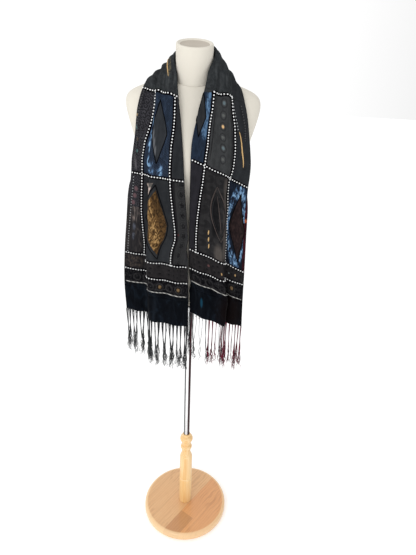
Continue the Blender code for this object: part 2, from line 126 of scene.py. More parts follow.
def clouds(tree, vector, scale, detail=3.0, distortion=0.0):
    """Soft noise from 0 to 1."""
    sockets = {"Vector": vector, "Scale": scale, "Detail": detail, "Distortion": distortion}
    return add_node(tree, "ShaderNodeTexNoise", sockets).outputs["Fac"]


def raise_surface(tree, shader, height, strength, distance):
    """Bumps the shader's normal by a height."""
    sockets = {"Height": height, "Strength": strength, "Distance": distance}
    tree.links.new(add_node(tree, "ShaderNodeBump", sockets).outputs[0], shader.inputs["Normal"])


def new_finish(name, **sockets):
    """A new material with its Principled shader's own sockets set."""
    material = bpy.data.materials.new(name)
    material.use_nodes = True
    shader = material.node_tree.nodes["Principled BSDF"]
    for socket, value in sockets.items():
        shader.inputs[socket.replace("_", " ")].default_value = value
    return material, material.node_tree, shader


def new_group(name, inputs, outputs):
    """An empty shader node group with these sockets, and its input and output nodes."""
    group = bpy.data.node_groups.new(name, "ShaderNodeTree")
    for direction, sockets in (("INPUT", inputs), ("OUTPUT", outputs)):
        for socket, kind in sockets.items():
            group.interface.new_socket(socket, in_out=direction, socket_type=f"NodeSocket{kind}")
    return group, group.nodes.new("NodeGroupInput").outputs, group.nodes.new("NodeGroupOutput")


def placed(tree, group, **sockets):
    """A node group placed in a material with its own values, as its outputs."""
    made = add_node(tree, "ShaderNodeGroup", node_tree=group)
    for name, value in sockets.items():
        if isinstance(value, bpy.types.NodeSocket):
            tree.links.new(value, made.inputs[name])
        else:
            made.inputs[name].default_value = value
    return made.outputs


def own_place(tree):
    """The place on the piece, in metres."""
    return add_node(tree, "ShaderNodeTexCoord").outputs["Object"]


def extruded_rings(name, profile, sides):
    """A turned piece: a disc at the profile's first radius and height, extruded and widened ring by ring."""
    radius, height = profile[0]
    bpy.ops.mesh.primitive_circle_add(
        vertices=sides, radius=radius, fill_type="NGON", location=(0, 0, height)
    )
    bpy.ops.object.mode_set(mode="EDIT")
    for (radius, height), (next_radius, next_height) in zip(profile, profile[1:]):
        rise = {"value": (0, 0, next_height - height)}
        bpy.ops.mesh.extrude_region_move(TRANSFORM_OT_translate=rise)
        widen = next_radius / radius
        bpy.ops.transform.resize(value=(widen, widen, 1), center_override=(0, 0, next_height))
    bpy.ops.mesh.select_all(action="SELECT")
    bpy.ops.mesh.normals_make_consistent(inside=False)
    bpy.ops.object.mode_set(mode="OBJECT")
    bpy.ops.object.transform_apply(location=True, rotation=True, scale=True)
    bpy.ops.object.shade_smooth_by_angle(angle=math.radians(40))
    piece = bpy.context.object
    piece.name = name
    return piece


def round_edge(radius, height, size, start, end, count):
    """Points round an edge of a profile, from one angle in degrees to another."""
    angles = np.radians(np.linspace(start, end, count))
    return [(radius + size * math.cos(a), height + size * math.sin(a)) for a in angles]


def finished(piece, material, node):
    """Gives a made piece its material if it has none and its place on the part's only body, and hides its CAD
    node.
    """
    if not piece.data.materials:
        piece.data.materials.append(material)
    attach(piece, "root")
    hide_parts(node)
    bpy.ops.object.select_all(action="DESELECT")


wood_grain, inward, outward = new_group(
    "wood_grain", {"Place": "Vector", "Fineness": "Float"}, {"Rings": "Float", "Pores": "Float"}
)
wobble = clouds(wood_grain, inward["Place"], 9.0, 2.0)
rings = add_node(wood_grain, "ShaderNodeTexWave", {
    "Vector": inward["Place"], "Scale": inward["Fineness"], "Distortion": 5.0, "Detail": 3.0,
    "Detail Scale": 1.6, "Phase Offset": times(wood_grain, wobble, 6.0),
}, bands_direction="Y").outputs["Fac"]
pores = clouds(wood_grain, stretched(wood_grain, inward["Place"], (300, 900, 300)), 1.0, 4.0)
wood_grain.links.new(rings, outward.inputs["Rings"])
wood_grain.links.new(step_between(wood_grain, pores, 0.55, 0.75), outward.inputs["Pores"])

oak, tree, shader = new_finish("varnished_oak", Roughness=0.36, Coat_Weight=0.5, Coat_Roughness=0.10)
place = own_place(tree)
STAVE_SLANT = math.radians(-51)
turned_place = add_node(tree, "ShaderNodeMapping", {
    "Vector": place, "Rotation": (0, 0, STAVE_SLANT)}).outputs[0]
x, y, z = add_node(tree, "ShaderNodeSeparateXYZ", {0: turned_place}).outputs
stave = sums(tree, "DIVIDE", plus(tree, y, 0.026), 0.074)
right_hand = sums(tree, "LESS_THAN", stave, 0.0)
front_block = times(tree, right_hand, sums(tree, "LESS_THAN", x, -0.052))
front_block = times(tree, front_block, sums(tree, "GREATER_THAN", y, -0.083))
tone = add_node(tree, "ShaderNodeTexWhiteNoise", {
    "W": plus(tree, sums(tree, "FLOOR", stave), times(tree, front_block, 7.0))},
    noise_dimensions="1D").outputs["Value"]
shifted = add_node(tree, "ShaderNodeVectorMath", {
    0: turned_place, 1: add_node(tree, "ShaderNodeCombineXYZ", {1: tone, 2: tone}).outputs[0]}).outputs[0]
grain = placed(tree, wood_grain, Place=stretched(tree, shifted, (0.14, 1.0, 1.0)), Fineness=34.0)
streaks = clouds(tree, stretched(tree, shifted, (7, 120, 1)), 1.0, 4.0)
cathedral = add_node(tree, "ShaderNodeTexWave", {
    "Vector": stretched(tree, shifted, (0.45, 1.0, 1.0)), "Scale": 20.0, "Distortion": 9.0, "Detail": 1.0,
    "Detail Scale": 1.3}, bands_direction="Y").outputs["Fac"]
figured = plus(tree, step_between(tree, x, 0.005, 0.045), step_between(tree, x, -0.075, -0.100))
figured = times(tree, figured, step_between(tree, clouds(tree, place, 14.0), 0.35, 0.6))
cathedral = times(tree, step_between(tree, cathedral, 0.68, 0.95), figured)
rings = plus(tree, times(tree, grain["Rings"], 0.25), times(tree, streaks, 0.7))
pale = blended(tree, rings, (0.76, 0.47, 0.235), (0.63, 0.34, 0.150))
orange = blended(tree, rings, (0.76, 0.39, 0.165), (0.60, 0.265, 0.098))
darker = blended(tree, rings, (0.58, 0.29, 0.12), (0.47, 0.215, 0.08))
colour = blended(tree, front_block, blended(tree, right_hand, pale, orange), darker)
colour = tinted(tree, colour, grain["Pores"], 0.25, (0.30, 0.14, 0.06))
colour = tinted(tree, colour, cathedral, 0.25, (0.34, 0.13, 0.045))
joint = sums(tree, "ABSOLUTE", sums(tree, "SUBTRACT", sums(tree, "FRACT", stave), 0.5))
joint_line = step_between(tree, joint, 0.488, 0.497)
colour = tinted(tree, colour, joint_line, 0.4, (0.28, 0.13, 0.055))
from_middle = sums(tree, "SQRT", plus(tree, times(tree, x, x), times(tree, y, y)))
turned_rim = step_between(tree, from_middle, 0.1500, 0.1555)
colour = tinted(tree, colour, turned_rim, 0.7, (0.88, 0.62, 0.34))
coloured(tree, shader, colour)
rough = plus(tree, 0.28, times(tree, clouds(tree, place, 30.0), 0.2))
tree.links.new(rough, shader.inputs["Roughness"])
raise_surface(tree, shader, sums(tree, "SUBTRACT", grain["Rings"], grain["Pores"]), 0.12, 0.001)

foot_profile = [(0.159, 0.0), (0.163, 0.004), (0.163, 0.017)]
foot_profile += round_edge(0.152, 0.017, 0.011, 8, 90, 9) + [(0.10, 0.028), (0.03, 0.028)]
foot_disc = extruded_rings("foot_disc", foot_profile, 128)
finished(foot_disc, oak, "stand_base")

# The turned column
# A golden pine post, 49 mm thick, with a lathe-cut groove, a cove, a bead and a round knob at its top.
# The tube drops into the bore in the knob. The grain runs up the post.
pine, tree, shader = new_finish("varnished_pine", Roughness=0.38, Coat_Weight=0.3, Coat_Roughness=0.18)
place = own_place(tree)
grain = placed(tree, wood_grain, Place=stretched(tree, place, (1.0, 1.0, 0.05)), Fineness=95.0)
streaks = clouds(tree, stretched(tree, place, (60, 60, 3)), 1.0, 3.0)
colour = blended(tree, grain["Rings"], (0.86, 0.59, 0.28), (0.78, 0.46, 0.175))
colour = blended(tree, step_between(tree, streaks, 0.45, 0.75), colour, (0.90, 0.66, 0.36))
colour = tinted(tree, colour, grain["Pores"], 0.2, (0.45, 0.22, 0.07))
z = add_node(tree, "ShaderNodeSeparateXYZ", {0: place}).outputs[2]
groove = sums(tree, "ABSOLUTE", sums(tree, "SUBTRACT", z, 0.151))
colour = blended(tree, times(tree, step_between(tree, groove, 0.004, 0.002), 0.5), colour, (0.90, 0.70, 0.42))
coloured(tree, shader, colour)
raise_surface(tree, shader, grain["Rings"], 0.1, 0.0008)

column_profile = [(0.0235, 0.0283), (0.0245, 0.0293), (0.0245, 0.1475), (0.0220, 0.1495), (0.0220, 0.1525)]
column_profile += [(0.0240, 0.1545), (0.0240, 0.200), (0.0235, 0.2620), (0.0215, 0.2700)]
column_profile += [(0.0178, 0.2770), (0.0165, 0.2830), (0.0165, 0.2950)]
column_profile += round_edge(0.0100, 0.3110, 0.0115, -62, 62, 11) + [(0.0170, 0.3290), (0.0170, 0.3325)]
column_profile += round_edge(0.0075, 0.351, 0.0165, -50, 62, 15) + [(0.0135, 0.3738), (0.0114, 0.3738)]
column = extruded_rings("turned_column", column_profile, 72)
finished(column, pine, "stand_column")

# The chromed tube
# A straight steel tube, 22 mm across, polished and chromed, from the bore in the column up to the socket.
# A cylinder with its end edges bevelled. Finger marks dull the chrome a little.
chrome, tree, shader = new_finish("polished_chrome", Metallic=1.0, Roughness=0.12)
place = own_place(tree)
x, y, _ = add_node(tree, "ShaderNodeSeparateXYZ", {0: place}).outputs
turned = plus(tree, sums(tree, "ARCTAN2", y, x), math.radians(100))
around = sums(tree, "COSINE", times(tree, turned, 2.0))
marks = step_between(tree, clouds(tree, stretched(tree, place, (40, 40, 14)), 1.0, 4.0), 0.42, 0.7)
# The chrome's colour is a painted reflection: a bright band just left of the front and at the back, with a
# dark grey painted reflection on the left and a dark maroon one on the right. Finger marks dim the painted
# bright band.
painted_dark_reflection = blended(tree, step_between(tree, x, -0.002, 0.002), (0.090, 0.092, 0.096), (0.034, 0.011, 0.014))
bright = blended(tree, marks, (0.95, 0.95, 0.95), (0.72, 0.71, 0.71))
coloured(tree, shader, blended(tree, step_between(tree, around, 0.55, 0.78), painted_dark_reflection, bright))
tree.links.new(plus(tree, 0.10, times(tree, marks, 0.10)), shader.inputs["Roughness"])

low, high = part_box("stand_pole")
bpy.ops.mesh.primitive_cylinder_add(
    vertices=64, radius=0.011, depth=high.z - low.z, location=(0, 0, (low.z + high.z) / 2)
)
tube = bpy.context.object
tube.name = "chrome_tube"
bpy.ops.object.mode_set(mode="EDIT")
bpy.ops.mesh.select_all(action="SELECT")
bpy.ops.mesh.bevel(offset=0.0008, segments=3, affect="EDGES")
bpy.ops.object.mode_set(mode="OBJECT")
bpy.ops.object.transform_apply(location=True, rotation=True, scale=True)
bpy.ops.object.shade_smooth_by_angle(angle=math.radians(50))
finished(tube, chrome, "stand_pole")

# The socket under the form
# A flanged cup of black moulded plastic, screwed under the form, that the tube's top end sits in.
# It is turned from its flange down, and its surface has a fine moulded texture.
moulded, tree, shader = new_finish("moulded_black", Roughness=0.5)
place = own_place(tree)
speckle = clouds(tree, place, 900.0, 2.0)
coloured(tree, shader, blended(tree, speckle, (0.028, 0.028, 0.030), (0.05, 0.05, 0.052)))
raise_surface(tree, shader, speckle, 0.25, 0.0003)
socket_profile = [(0.0155, 0.9197), (0.0165, 0.9207), (0.0165, 0.9507), (0.0185, 0.9540), (0.0230, 0.9560)]
socket_profile += [(0.036, 0.9597), (0.036, 0.9627), (0.034, 0.9647)]
socket = extruded_rings("socket_cup", socket_profile, 64)
finished(socket, moulded, "form_socket")

# The dress form
# A padded torso on a moulded core, covered in smooth ivory jersey, with a short neck and a dished cap.
# The torso is a soft cage of rings, rounder or squarer, and the neck leans forward on its seam.
jersey, tree, shader = new_finish(
    "ivory_jersey", Roughness=0.85, Sheen_Weight=0.08, Sheen_Roughness=0.5, Specular_IOR_Level=0.2
)
place = own_place(tree)
knit = add_node(tree, "ShaderNodeTexWave", {
    "Vector": place, "Scale": 420.0, "Distortion": 1.5, "Detail": 2.0}, bands_direction="Z").outputs["Fac"]
mottle = clouds(tree, place, 7.0, 4.0)
z = add_node(tree, "ShaderNodeSeparateXYZ", {0: place}).outputs[2]
colour = blended(tree, mottle, (0.69, 0.652, 0.572), (0.745, 0.705, 0.62))
colour = tinted(tree, colour, knit, 0.08, (0.55, 0.49, 0.41))
coloured(tree, shader, colour)
weave_and_wear = plus(tree, times(tree, knit, 0.35), clouds(tree, place, 60.0, 3.0))
raise_surface(tree, shader, weave_and_wear, 0.18, 0.0009)

NECK_SEAM, NECK_TILT = 1.600, math.radians(17.5)
TORSO_RINGS = [
    # height, half_width, front, back, squareness, tilt in degrees
    (0.9690, 0.1500, 0.0980, 0.1020, 2.3, 0),
    (0.9850, 0.1600, 0.1060, 0.1100, 2.3, 0),
    (1.0400, 0.1660, 0.1100, 0.1150, 2.3, 0),
    (1.1200, 0.1500, 0.1040, 0.1000, 2.2, 0),
    (1.2000, 0.1240, 0.0900, 0.0800, 2.2, 0),
    (1.2350, 0.1200, 0.0880, 0.0770, 2.2, 0),
    (1.2900, 0.1300, 0.0980, 0.0840, 2.2, 0),
    (1.3400, 0.1430, 0.1125, 0.0900, 2.2, 0),
    (1.3720, 0.1480, 0.1185, 0.0925, 2.2, 0),
    (1.4000, 0.1510, 0.1185, 0.0935, 2.3, 0),
    (1.4350, 0.1570, 0.1120, 0.0940, 2.3, 0),
    (1.4700, 0.1690, 0.1000, 0.0920, 2.3, 0),
    (1.5100, 0.1810, 0.0850, 0.0860, 2.3, 0),
    (1.5450, 0.1870, 0.0700, 0.0760, 2.2, 2),
    (1.5660, 0.1760, 0.0600, 0.0670, 2.2, 5),
    (1.5800, 0.1470, 0.0540, 0.0600, 2.1, 9),
    (1.5900, 0.1080, 0.0520, 0.0570, 2.0, 13),
    (1.5960, 0.0780, 0.0535, 0.0560, 2.0, 16),
    (NECK_SEAM, 0.0530, 0.0530, 0.0530, 2.0, 17.5),
]


def body_ring(height, half_width, front, back, squareness, tilt, sides):
    """One closed ring round the torso."""
    ring = []
    for i in range(sides):
        angle = 2 * math.pi * i / sides
        across, deep = math.cos(angle), math.sin(angle)
        x = half_width * math.copysign(abs(across) ** (2 / squareness), across)
        y = (back if deep > 0 else front) * math.copysign(abs(deep) ** (2 / squareness), deep)
        ring.append((x, y * math.cos(math.radians(tilt)), height + y * math.sin(math.radians(tilt))))
    return ring


def grid_piece(name, points, faces, materials, smooth_levels=0):
    """A named piece from points and faces, with its materials."""
    mesh = bpy.data.meshes.new(name)
    mesh.from_pydata([tuple(p) for p in points], [], faces)
    for material in materials:
        mesh.materials.append(material)
    mesh.shade_smooth()
    piece = bpy.data.objects.new(name, mesh)
    bpy.context.scene.collection.objects.link(piece)
    if smooth_levels:
        rounder = piece.modifiers.new("Rounder", "SUBSURF")
        rounder.levels = rounder.render_levels = smooth_levels
        bpy.context.view_layer.objects.active = piece
        bpy.ops.object.modifier_apply(modifier=rounder.name)
    return piece


SIDES = 36
loft = [body_ring(*row, SIDES) for row in TORSO_RINGS]
foot_rings = [[(x * k, y * k, 0.9652) for x, y, z in loft[0]] for k in (0.50, 0.93)]
loft = foot_rings + loft
body_points = [p for ring in loft for p in ring]
body_faces = [tuple(range(SIDES - 1, -1, -1)), tuple(range(len(body_points) - SIDES, len(body_points)))]
for k in range(len(loft) - 1):
    for i in range(SIDES):
        a, b = k * SIDES + i, k * SIDES + (i + 1) % SIDES
        body_faces.append((a, b, b + SIDES, a + SIDES))
form_body = grid_piece("form_body", body_points, body_faces, [jersey], smooth_levels=2)
finished(form_body, jersey, "form_torso")

# The inside of the dished cap is painted darker beige: painted shade in the recess.
cap_painted_shade, tree, shader = new_finish("cap_painted_shade", Roughness=0.9, Specular_IOR_Level=0.2)
mottle = clouds(tree, own_place(tree), 24.0, 3.0)
coloured(tree, shader, blended(tree, mottle, (0.44, 0.39, 0.33), (0.56, 0.51, 0.44)))

neck_profile = [(0.0528, -0.0015), (0.0520, 0.0060), (0.0503, 0.0180), (0.0492, 0.0300), (0.0487, 0.0400)]
neck_profile += [(0.0487, 0.0800), (0.0485, 0.0835), (0.0478, 0.0862), (0.0465, 0.0877), (0.0448, 0.0880)]
neck_profile += [(0.0430, 0.0876), (0.0415, 0.0868), (0.0385, 0.0850), (0.034, 0.0840), (0.015, 0.0836)]
form_neck = extruded_rings("form_collar", neck_profile, 96)
bpy.ops.transform.resize(value=(1, 1.06, 1), center_override=(0, 0, 0))
bpy.ops.object.transform_apply(location=True, rotation=True, scale=True)
form_neck.data.materials.append(jersey)
form_neck.data.materials.append(cap_painted_shade)
# Faces inside the cap's rim take the painted shade.
for polygon in form_neck.data.polygons:
    within = math.hypot(polygon.center.x, polygon.center.y / 1.06) < 0.0395
    polygon.material_index = 1 if within and polygon.center.z > 0.07 else 0
form_neck.rotation_euler = (NECK_TILT, 0, 0)
form_neck.location = (0, 0, NECK_SEAM)
bpy.ops.object.transform_apply(location=True, rotation=True, scale=True)
finished(form_neck, jersey, "form_neck")

# The way the scarf hangs
# The scarf is 240 mm wide and 1784 mm long flat. Its long edges turn under at the neck and each side
# has one deep fold. The middle of the cloth is found here once, and all that is sewn on follows it.
SCARF_LENGTH, SCARF_WIDTH = 1.784, 0.240
END_BAND, NECK_JOIN = 0.085, 0.655
HALF_LENGTH = SCARF_LENGTH / 2
LEFT_SECTIONS = [
    # from_hem, inner x, y, z, outer x, y, z, tuck_in, tuck_out, step, wave
    (0.000, -0.0030, -0.1370, 0.9180, -0.1960, -0.060, 0.938, 0.000, 0.000, 1.00, 0.16),
    (0.085, -0.0035, -0.1370, 1.0020, -0.1990, -0.062, 1.022, 0.000, 0.000, 1.00, 0.16),
    (0.181, -0.0060, -0.1370, 1.0970, -0.1950, -0.064, 1.116, 0.000, 0.000, 1.00, 0.18),
    (0.300, -0.0130, -0.1365, 1.2150, -0.1840, -0.068, 1.232, 0.014, 0.000, 1.00, 0.20),
    (0.418, -0.0230, -0.1350, 1.3320, -0.1710, -0.070, 1.349, 0.028, 0.006, 0.95, 0.22),
    (0.500, -0.0280, -0.1250, 1.4110, -0.1560, -0.068, 1.430, 0.042, 0.014, 0.85, 0.30),
    (0.580, -0.0345, -0.1060, 1.4870, -0.1440, -0.060, 1.508, 0.058, 0.022, 0.55, 0.30),
    (0.655, -0.0430, -0.0830, 1.5580, -0.1290, -0.036, 1.576, 0.068, 0.032, 0.30, 0.25),
    (0.710, -0.0480, -0.0450, 1.6060, -0.1180, -0.002, 1.602, 0.076, 0.040, 0.15, 0.25),
    (0.770, -0.0530, -0.0080, 1.6540, -0.0920, 0.046, 1.608, 0.080, 0.045, 0.10, 0.25),
    (0.830, -0.0400, 0.0360, 1.6720, -0.0520, 0.084, 1.590, 0.072, 0.042, 0.05, 0.25),
    (0.892, 0.0000, 0.0500, 1.6740, 0.0000, 0.096, 1.580, 0.068, 0.038, 0.05, 0.25),
]
RIGHT_SECTIONS = [
    # from_hem, inner x, y, z, outer x, y, z, tuck_in, tuck_out, step, wave
    (0.000, 0.0010, -0.1250, 0.9630, 0.1640, -0.100, 0.902, 0.000, 0.000, 1.00, 0.30),
    (0.085, 0.0005, -0.1250, 1.0450, 0.1620, -0.096, 0.986, 0.004, 0.000, 1.00, 0.28),
    (0.181, -0.0005, -0.1255, 1.1380, 0.1610, -0.094, 1.080, 0.022, 0.000, 1.00, 0.28),
    (0.300, -0.0010, -0.1270, 1.2540, 0.1590, -0.090, 1.197, 0.030, 0.000, 1.00, 0.28),
    (0.418, -0.0010, -0.1270, 1.3700, 0.1575, -0.086, 1.313, 0.034, 0.006, 0.90, 0.28),
    (0.500, 0.0020, -0.1210, 1.4490, 0.1560, -0.081, 1.393, 0.040, 0.012, 0.75, 0.30),
    (0.580, 0.0160, -0.1080, 1.5160, 0.1470, -0.070, 1.469, 0.054, 0.018, 0.55, 0.30),
    (0.655, 0.0320, -0.0850, 1.5800, 0.1290, -0.052, 1.543, 0.066, 0.026, 0.30, 0.25),
    (0.710, 0.0420, -0.0520, 1.6280, 0.1190, -0.028, 1.579, 0.074, 0.037, 0.15, 0.25),
    (0.770, 0.0530, -0.0120, 1.6720, 0.1040, 0.010, 1.606, 0.080, 0.046, 0.10, 0.25),
    (0.830, 0.0420, 0.0340, 1.6820, 0.0610, 0.078, 1.598, 0.074, 0.044, 0.05, 0.25),
]
STEP_CENTRE = {"left": 0.60, "right": 0.62}
STRIP_STEPS, FOLD_STEPS, OPEN_STEPS, FINE = 3, 3, 20, 4
ACROSS_STEPS = 2 * (STRIP_STEPS + FOLD_STEPS) + OPEN_STEPS
OPEN_FIRST = STRIP_STEPS + FOLD_STEPS
SECTIONS = np.array([list(row) for row in LEFT_SECTIONS]
                    + [[SCARF_LENGTH - row[0], *row[1:]] for row in reversed(RIGHT_SECTIONS)])
SECTION_SLOPES = np.gradient(SECTIONS, SECTIONS[:, 0], axis=0)


def section_at(along):
    """One section's row at a distance along the scarf, by cubic interpolation of the table."""
    stations = SECTIONS[:, 0]
    k = int(np.clip(np.searchsorted(stations, along) - 1, 0, len(stations) - 2))
    span = stations[k + 1] - stations[k]
    t = (along - stations[k]) / span
    row = (2 * t**3 - 3 * t**2 + 1) * SECTIONS[k] + (t**3 - 2 * t**2 + t) * SECTION_SLOPES[k] * span
    row += (3 * t**2 - 2 * t**3) * SECTIONS[k + 1] + (t**3 - t**2) * SECTION_SLOPES[k + 1] * span
    return row[1:4], row[4:7], row[7:9].clip(0.0), row[9], row[10]


def fold_turns(step, wave, along):
    """How far the visible cloth turns out of the section's line at each point across it, unscaled."""
    side = 0.5 - 0.5 * math.tanh((along - HALF_LENGTH) / 0.1)
    centre = side * STEP_CENTRE["left"] + (1 - side) * STEP_CENTRE["right"]
    across = (np.arange(OPEN_STEPS * FINE) + 0.5) / (OPEN_STEPS * FINE)
    deep_fold = -(1 + np.cos(math.pi * np.clip((across - centre) / 0.20, -1, 1))) / 2
    warped = across + 0.05 * math.sin(5.1 * along + 0.6) * np.sin(2 * math.pi * across)
    ripples = np.sin(6 * math.pi * warped) * (1 + 0.3 * np.cos(2 * math.pi * (across - along)))
    return step * deep_fold + wave * ripples


def run_of(turns, length):
    """A flat line's points, forward and outward, for these turning angles over this length."""
    forward = np.concatenate([[0], np.cumsum(np.cos(turns))])
    outward_way = np.concatenate([[0], np.cumsum(np.sin(turns))])
    return np.stack([forward, outward_way], 1) * length / len(turns)


def fitted_line(turns, length, chord):
    """The visible cloth as a flat line whose folds are scaled until its two ends lie a chord apart."""
    low, high = 0.0, 2.6
    for _ in range(40):
        middle = (low + high) / 2
        if np.linalg.norm(run_of(turns * middle, length)[-1]) > chord:
            low = middle
        else:
            high = middle
    line = run_of(turns * middle, length)
    reach = np.linalg.norm(line[-1])
    forward, out = line[-1] / reach
    level = line @ np.array([[forward, -out], [out, forward]]) * chord / reach
    return level, turns * middle - math.atan2(out, forward)


def tuck_lengths(tuck):
    """How far a tucked edge has turned, from 0 to 1, with the lengths of its fold and of its strip."""
    amount = min(tuck / 0.012, 1.0)
    turned_share = amount * amount * (3 - 2 * amount)
    return turned_share, 0.003 + 0.007 * turned_share, tuck + 0.002


def tucked_strip(start, heading, bends, spacing, sense, edge_size):
    """The points beyond one visible edge: the cloth folds round to its underside and follows it back."""
    turned_share, arc_length, strip_length = edge_size
    turn = sense * math.radians(172) * turned_share
    stride = strip_length / STRIP_STEPS / FINE
    moves = [(heading + turn * (k + 0.5) / FOLD_STEPS, arc_length / FOLD_STEPS) for k in range(FOLD_STEPS)]
    for k in range(STRIP_STEPS * FINE):
        bend = bends[min(int((k + 0.5) * stride / spacing), len(bends) - 1)]
        moves.append((heading + turn + bend * turned_share, stride))
    steps = np.array([[distance * math.cos(angle), distance * math.sin(angle)] for angle, distance in moves])
    points = start + np.cumsum(steps, axis=0)
    return list(points[:FOLD_STEPS]) + list(points[FOLD_STEPS + FINE - 1::FINE])


def section_points(along):
    """One section's points, their clearance from the form, and each point's flat distance across."""
    inner, outer, tucks, step, wave = section_at(along)
    ahead = np.subtract(*[sum(section_at(along + d)[:2]) for d in (0.004, -0.004)])
    edge_sizes = [tuck_lengths(tuck) for tuck in tucks]
    flat_edges = [(1 - share) * (fold + strip) for share, fold, strip in edge_sizes]
    chord_line = (outer - inner) / np.linalg.norm(outer - inner)
    inner = inner + chord_line * flat_edges[0]
    chord = np.linalg.norm(outer - inner) - flat_edges[1]
    length = SCARF_WIDTH - sum(fold + strip for _, fold, strip in edge_sizes)
    kept = min(1.0, 0.78 * chord / sum(strip for _, _, strip in edge_sizes))
    start = sum(edge_sizes[0][1:])
    edge_sizes = [(share, fold, strip * kept) for share, fold, strip in edge_sizes]

    fine_line, headings = fitted_line(fold_turns(step, wave, along), length, chord)
    spacing = length / len(headings)
    back_bends = headings - headings[0]
    on_bends = headings[::-1] - headings[-1]
    back = tucked_strip(fine_line[0], headings[0] + math.pi, back_bends, spacing, 1, edge_sizes[0])
    on = tucked_strip(fine_line[-1], headings[-1], on_bends, spacing, -1, edge_sizes[1])
    line = fine_line[::FINE]
    flat = np.array(back[::-1] + list(line) + on)
    out = np.cross(ahead, chord_line)
    out /= np.linalg.norm(out)
    points = inner + np.outer(flat[:, 0], chord_line) + np.outer(flat[:, 1], out)

    from_edge = np.array([np.linalg.norm(line - line[0], axis=1), np.linalg.norm(line - line[-1], axis=1)])
    over_tuck = (tucks[:, None] / 0.02).clip(0, 1) * (from_edge / 0.012).clip(0, 1)
    clearance = np.full(len(flat), 0.0042)
    clearance[OPEN_FIRST:OPEN_FIRST + len(line)] += 0.0055 * over_tuck.max(axis=0)

    steps = [[fold / FOLD_STEPS] * FOLD_STEPS + [strip / STRIP_STEPS] * STRIP_STEPS
             for _, fold, strip in edge_sizes]
    across = np.concatenate([
        start - np.cumsum(steps[0])[::-1], start + np.linspace(0, length, len(line)),
        start + length + np.cumsum(steps[1]),
    ])
    return points, clearance, across


form_points, form_faces = [], []
seam_normal = Vector((0, -math.sin(NECK_TILT), math.cos(NECK_TILT)))
for node in ("form_torso", "form_neck"):
    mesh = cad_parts[node].data
    first = len(form_points)
    form_points += [vertex.co.copy() for vertex in mesh.vertices]
    at_seam = [abs((p - Vector((0, 0, NECK_SEAM))).dot(seam_normal)) < 0.001 for p in form_points]
    for polygon in mesh.polygons:
        face = tuple(first + i for i in polygon.vertices)
        if not all(at_seam[i] for i in face):
            form_faces.append(face)
form_surface = BVHTree.FromPolygons(form_points, form_faces)


def moved_off_form(place, clearance):
    """The move that takes a point outside the form to its clearance, or none if it is there already."""
    nearest, normal, _, distance = form_surface.find_nearest(place)
    if (place - nearest).dot(normal) < 0 or distance < clearance:
        return nearest + normal * clearance - place
    return Vector()


def laid_section(points, clearances):
    """One section kept off the form. A point that moves draws its neighbours along, so folds keep shape."""
    row = [Vector(point) for point in points]
    for _ in range(8):
        moves = [moved_off_form(place, gap) for place, gap in zip(row, clearances)]
        padded = moves[:1] + moves + moves[-1:]
        row = [place + (a + 2 * b + c) / 4 for place, a, b, c in zip(row, padded, moves, padded[2:])]
    return [place + moved_off_form(place, gap) for place, gap in zip(row, clearances)]


def finer(rows, factor):
    """More rows on a smooth curve through the given ones."""
    rows = np.asarray(rows, float)
    ends = np.concatenate([[2 * rows[0] - rows[1]], rows, [2 * rows[-1] - rows[-2]]])
    p0, p1, p2, p3 = ends[:-3], ends[1:-2], ends[2:-1], ends[3:]
    between = []
    for t in np.arange(factor) / factor:
        between.append(0.5 * (2 * p1 + (p2 - p0) * t + (2 * p0 - 5 * p1 + 4 * p2 - p3) * t**2
                              + (3 * p1 - p0 - 3 * p2 + p3) * t**3))
    return np.concatenate([np.stack(between, 1).reshape(-1, *rows.shape[1:]), rows[-1:]])


SCARF_PIECES = [
    # name, where it ends along the scarf, rows, CAD node, slot
    ("left_velvet_band", END_BAND, 3, "left_end_band", "black_velvet"),
    ("left_panel", NECK_JOIN, 18, "scarf_left", "charcoal_cloth"),
    ("neck_stretch", SCARF_LENGTH - NECK_JOIN, 22, "scarf_neck", "charcoal_cloth"),
    ("right_panel", SCARF_LENGTH - END_BAND, 18, "scarf_right", "charcoal_cloth"),
    ("right_velvet_band", SCARF_LENGTH, 3, "right_end_band", "black_velvet"),
]
stations = [0.0]
for _, piece_end, piece_rows, *_ in SCARF_PIECES:
    stations += list(np.linspace(stations[-1], piece_end, piece_rows + 1)[1:])
sections = [section_points(along) for along in stations]
hung = np.array([[list(p) for p in laid_section(points, gaps)] for points, gaps, _ in sections])
ROW_FACTOR, COLUMN_FACTOR = 5, 4
cloth = np.swapaxes(finer(np.swapaxes(finer(hung, ROW_FACTOR), 0, 1), COLUMN_FACTOR), 0, 1)
flat_across = np.stack([row for *_, row in sections])
fine_steps = np.linspace(0, ACROSS_STEPS, ACROSS_STEPS * COLUMN_FACTOR + 1)
flat_across = np.stack([np.interp(fine_steps, np.arange(ACROSS_STEPS + 1), row)
                        for row in finer(flat_across, ROW_FACTOR)])
flat_along = np.interp(np.linspace(0, len(stations) - 1, len(cloth)), np.arange(len(stations)), stations)
ROWS, COLUMNS = flat_across.shape


def cloth_normals(points):
    """The outward normal at each point of a grid of cloth."""
    normals = np.cross(np.gradient(points, axis=0), np.gradient(points, axis=1))
    return normals / np.linalg.norm(normals, axis=2, keepdims=True)


along_grid = np.repeat(flat_along[:, None], COLUMNS, 1)
creases = 0.0006 * np.sin(flat_across * 190 + 2.4 * np.sin(along_grid * 13) + 1.1)
creases += 0.0005 * np.sin(along_grid * 61 + flat_across * 83 + 1.6 * np.sin(flat_across * 47))
creases += 0.0004 * np.sin(along_grid * 117 - flat_across * 131 + 0.7)
shown = np.zeros(COLUMNS)
open_first, open_last = OPEN_FIRST * COLUMN_FACTOR, (ACROSS_STEPS - OPEN_FIRST) * COLUMN_FACTOR
shown[open_first:open_last + 1] = np.sin(np.linspace(0, math.pi, open_last - open_first + 1)) ** 0.4
cloth = cloth + cloth_normals(cloth) * (creases * shown)[:, :, None]
normals = cloth_normals(cloth)
CLOTH_THICK = 0.0011


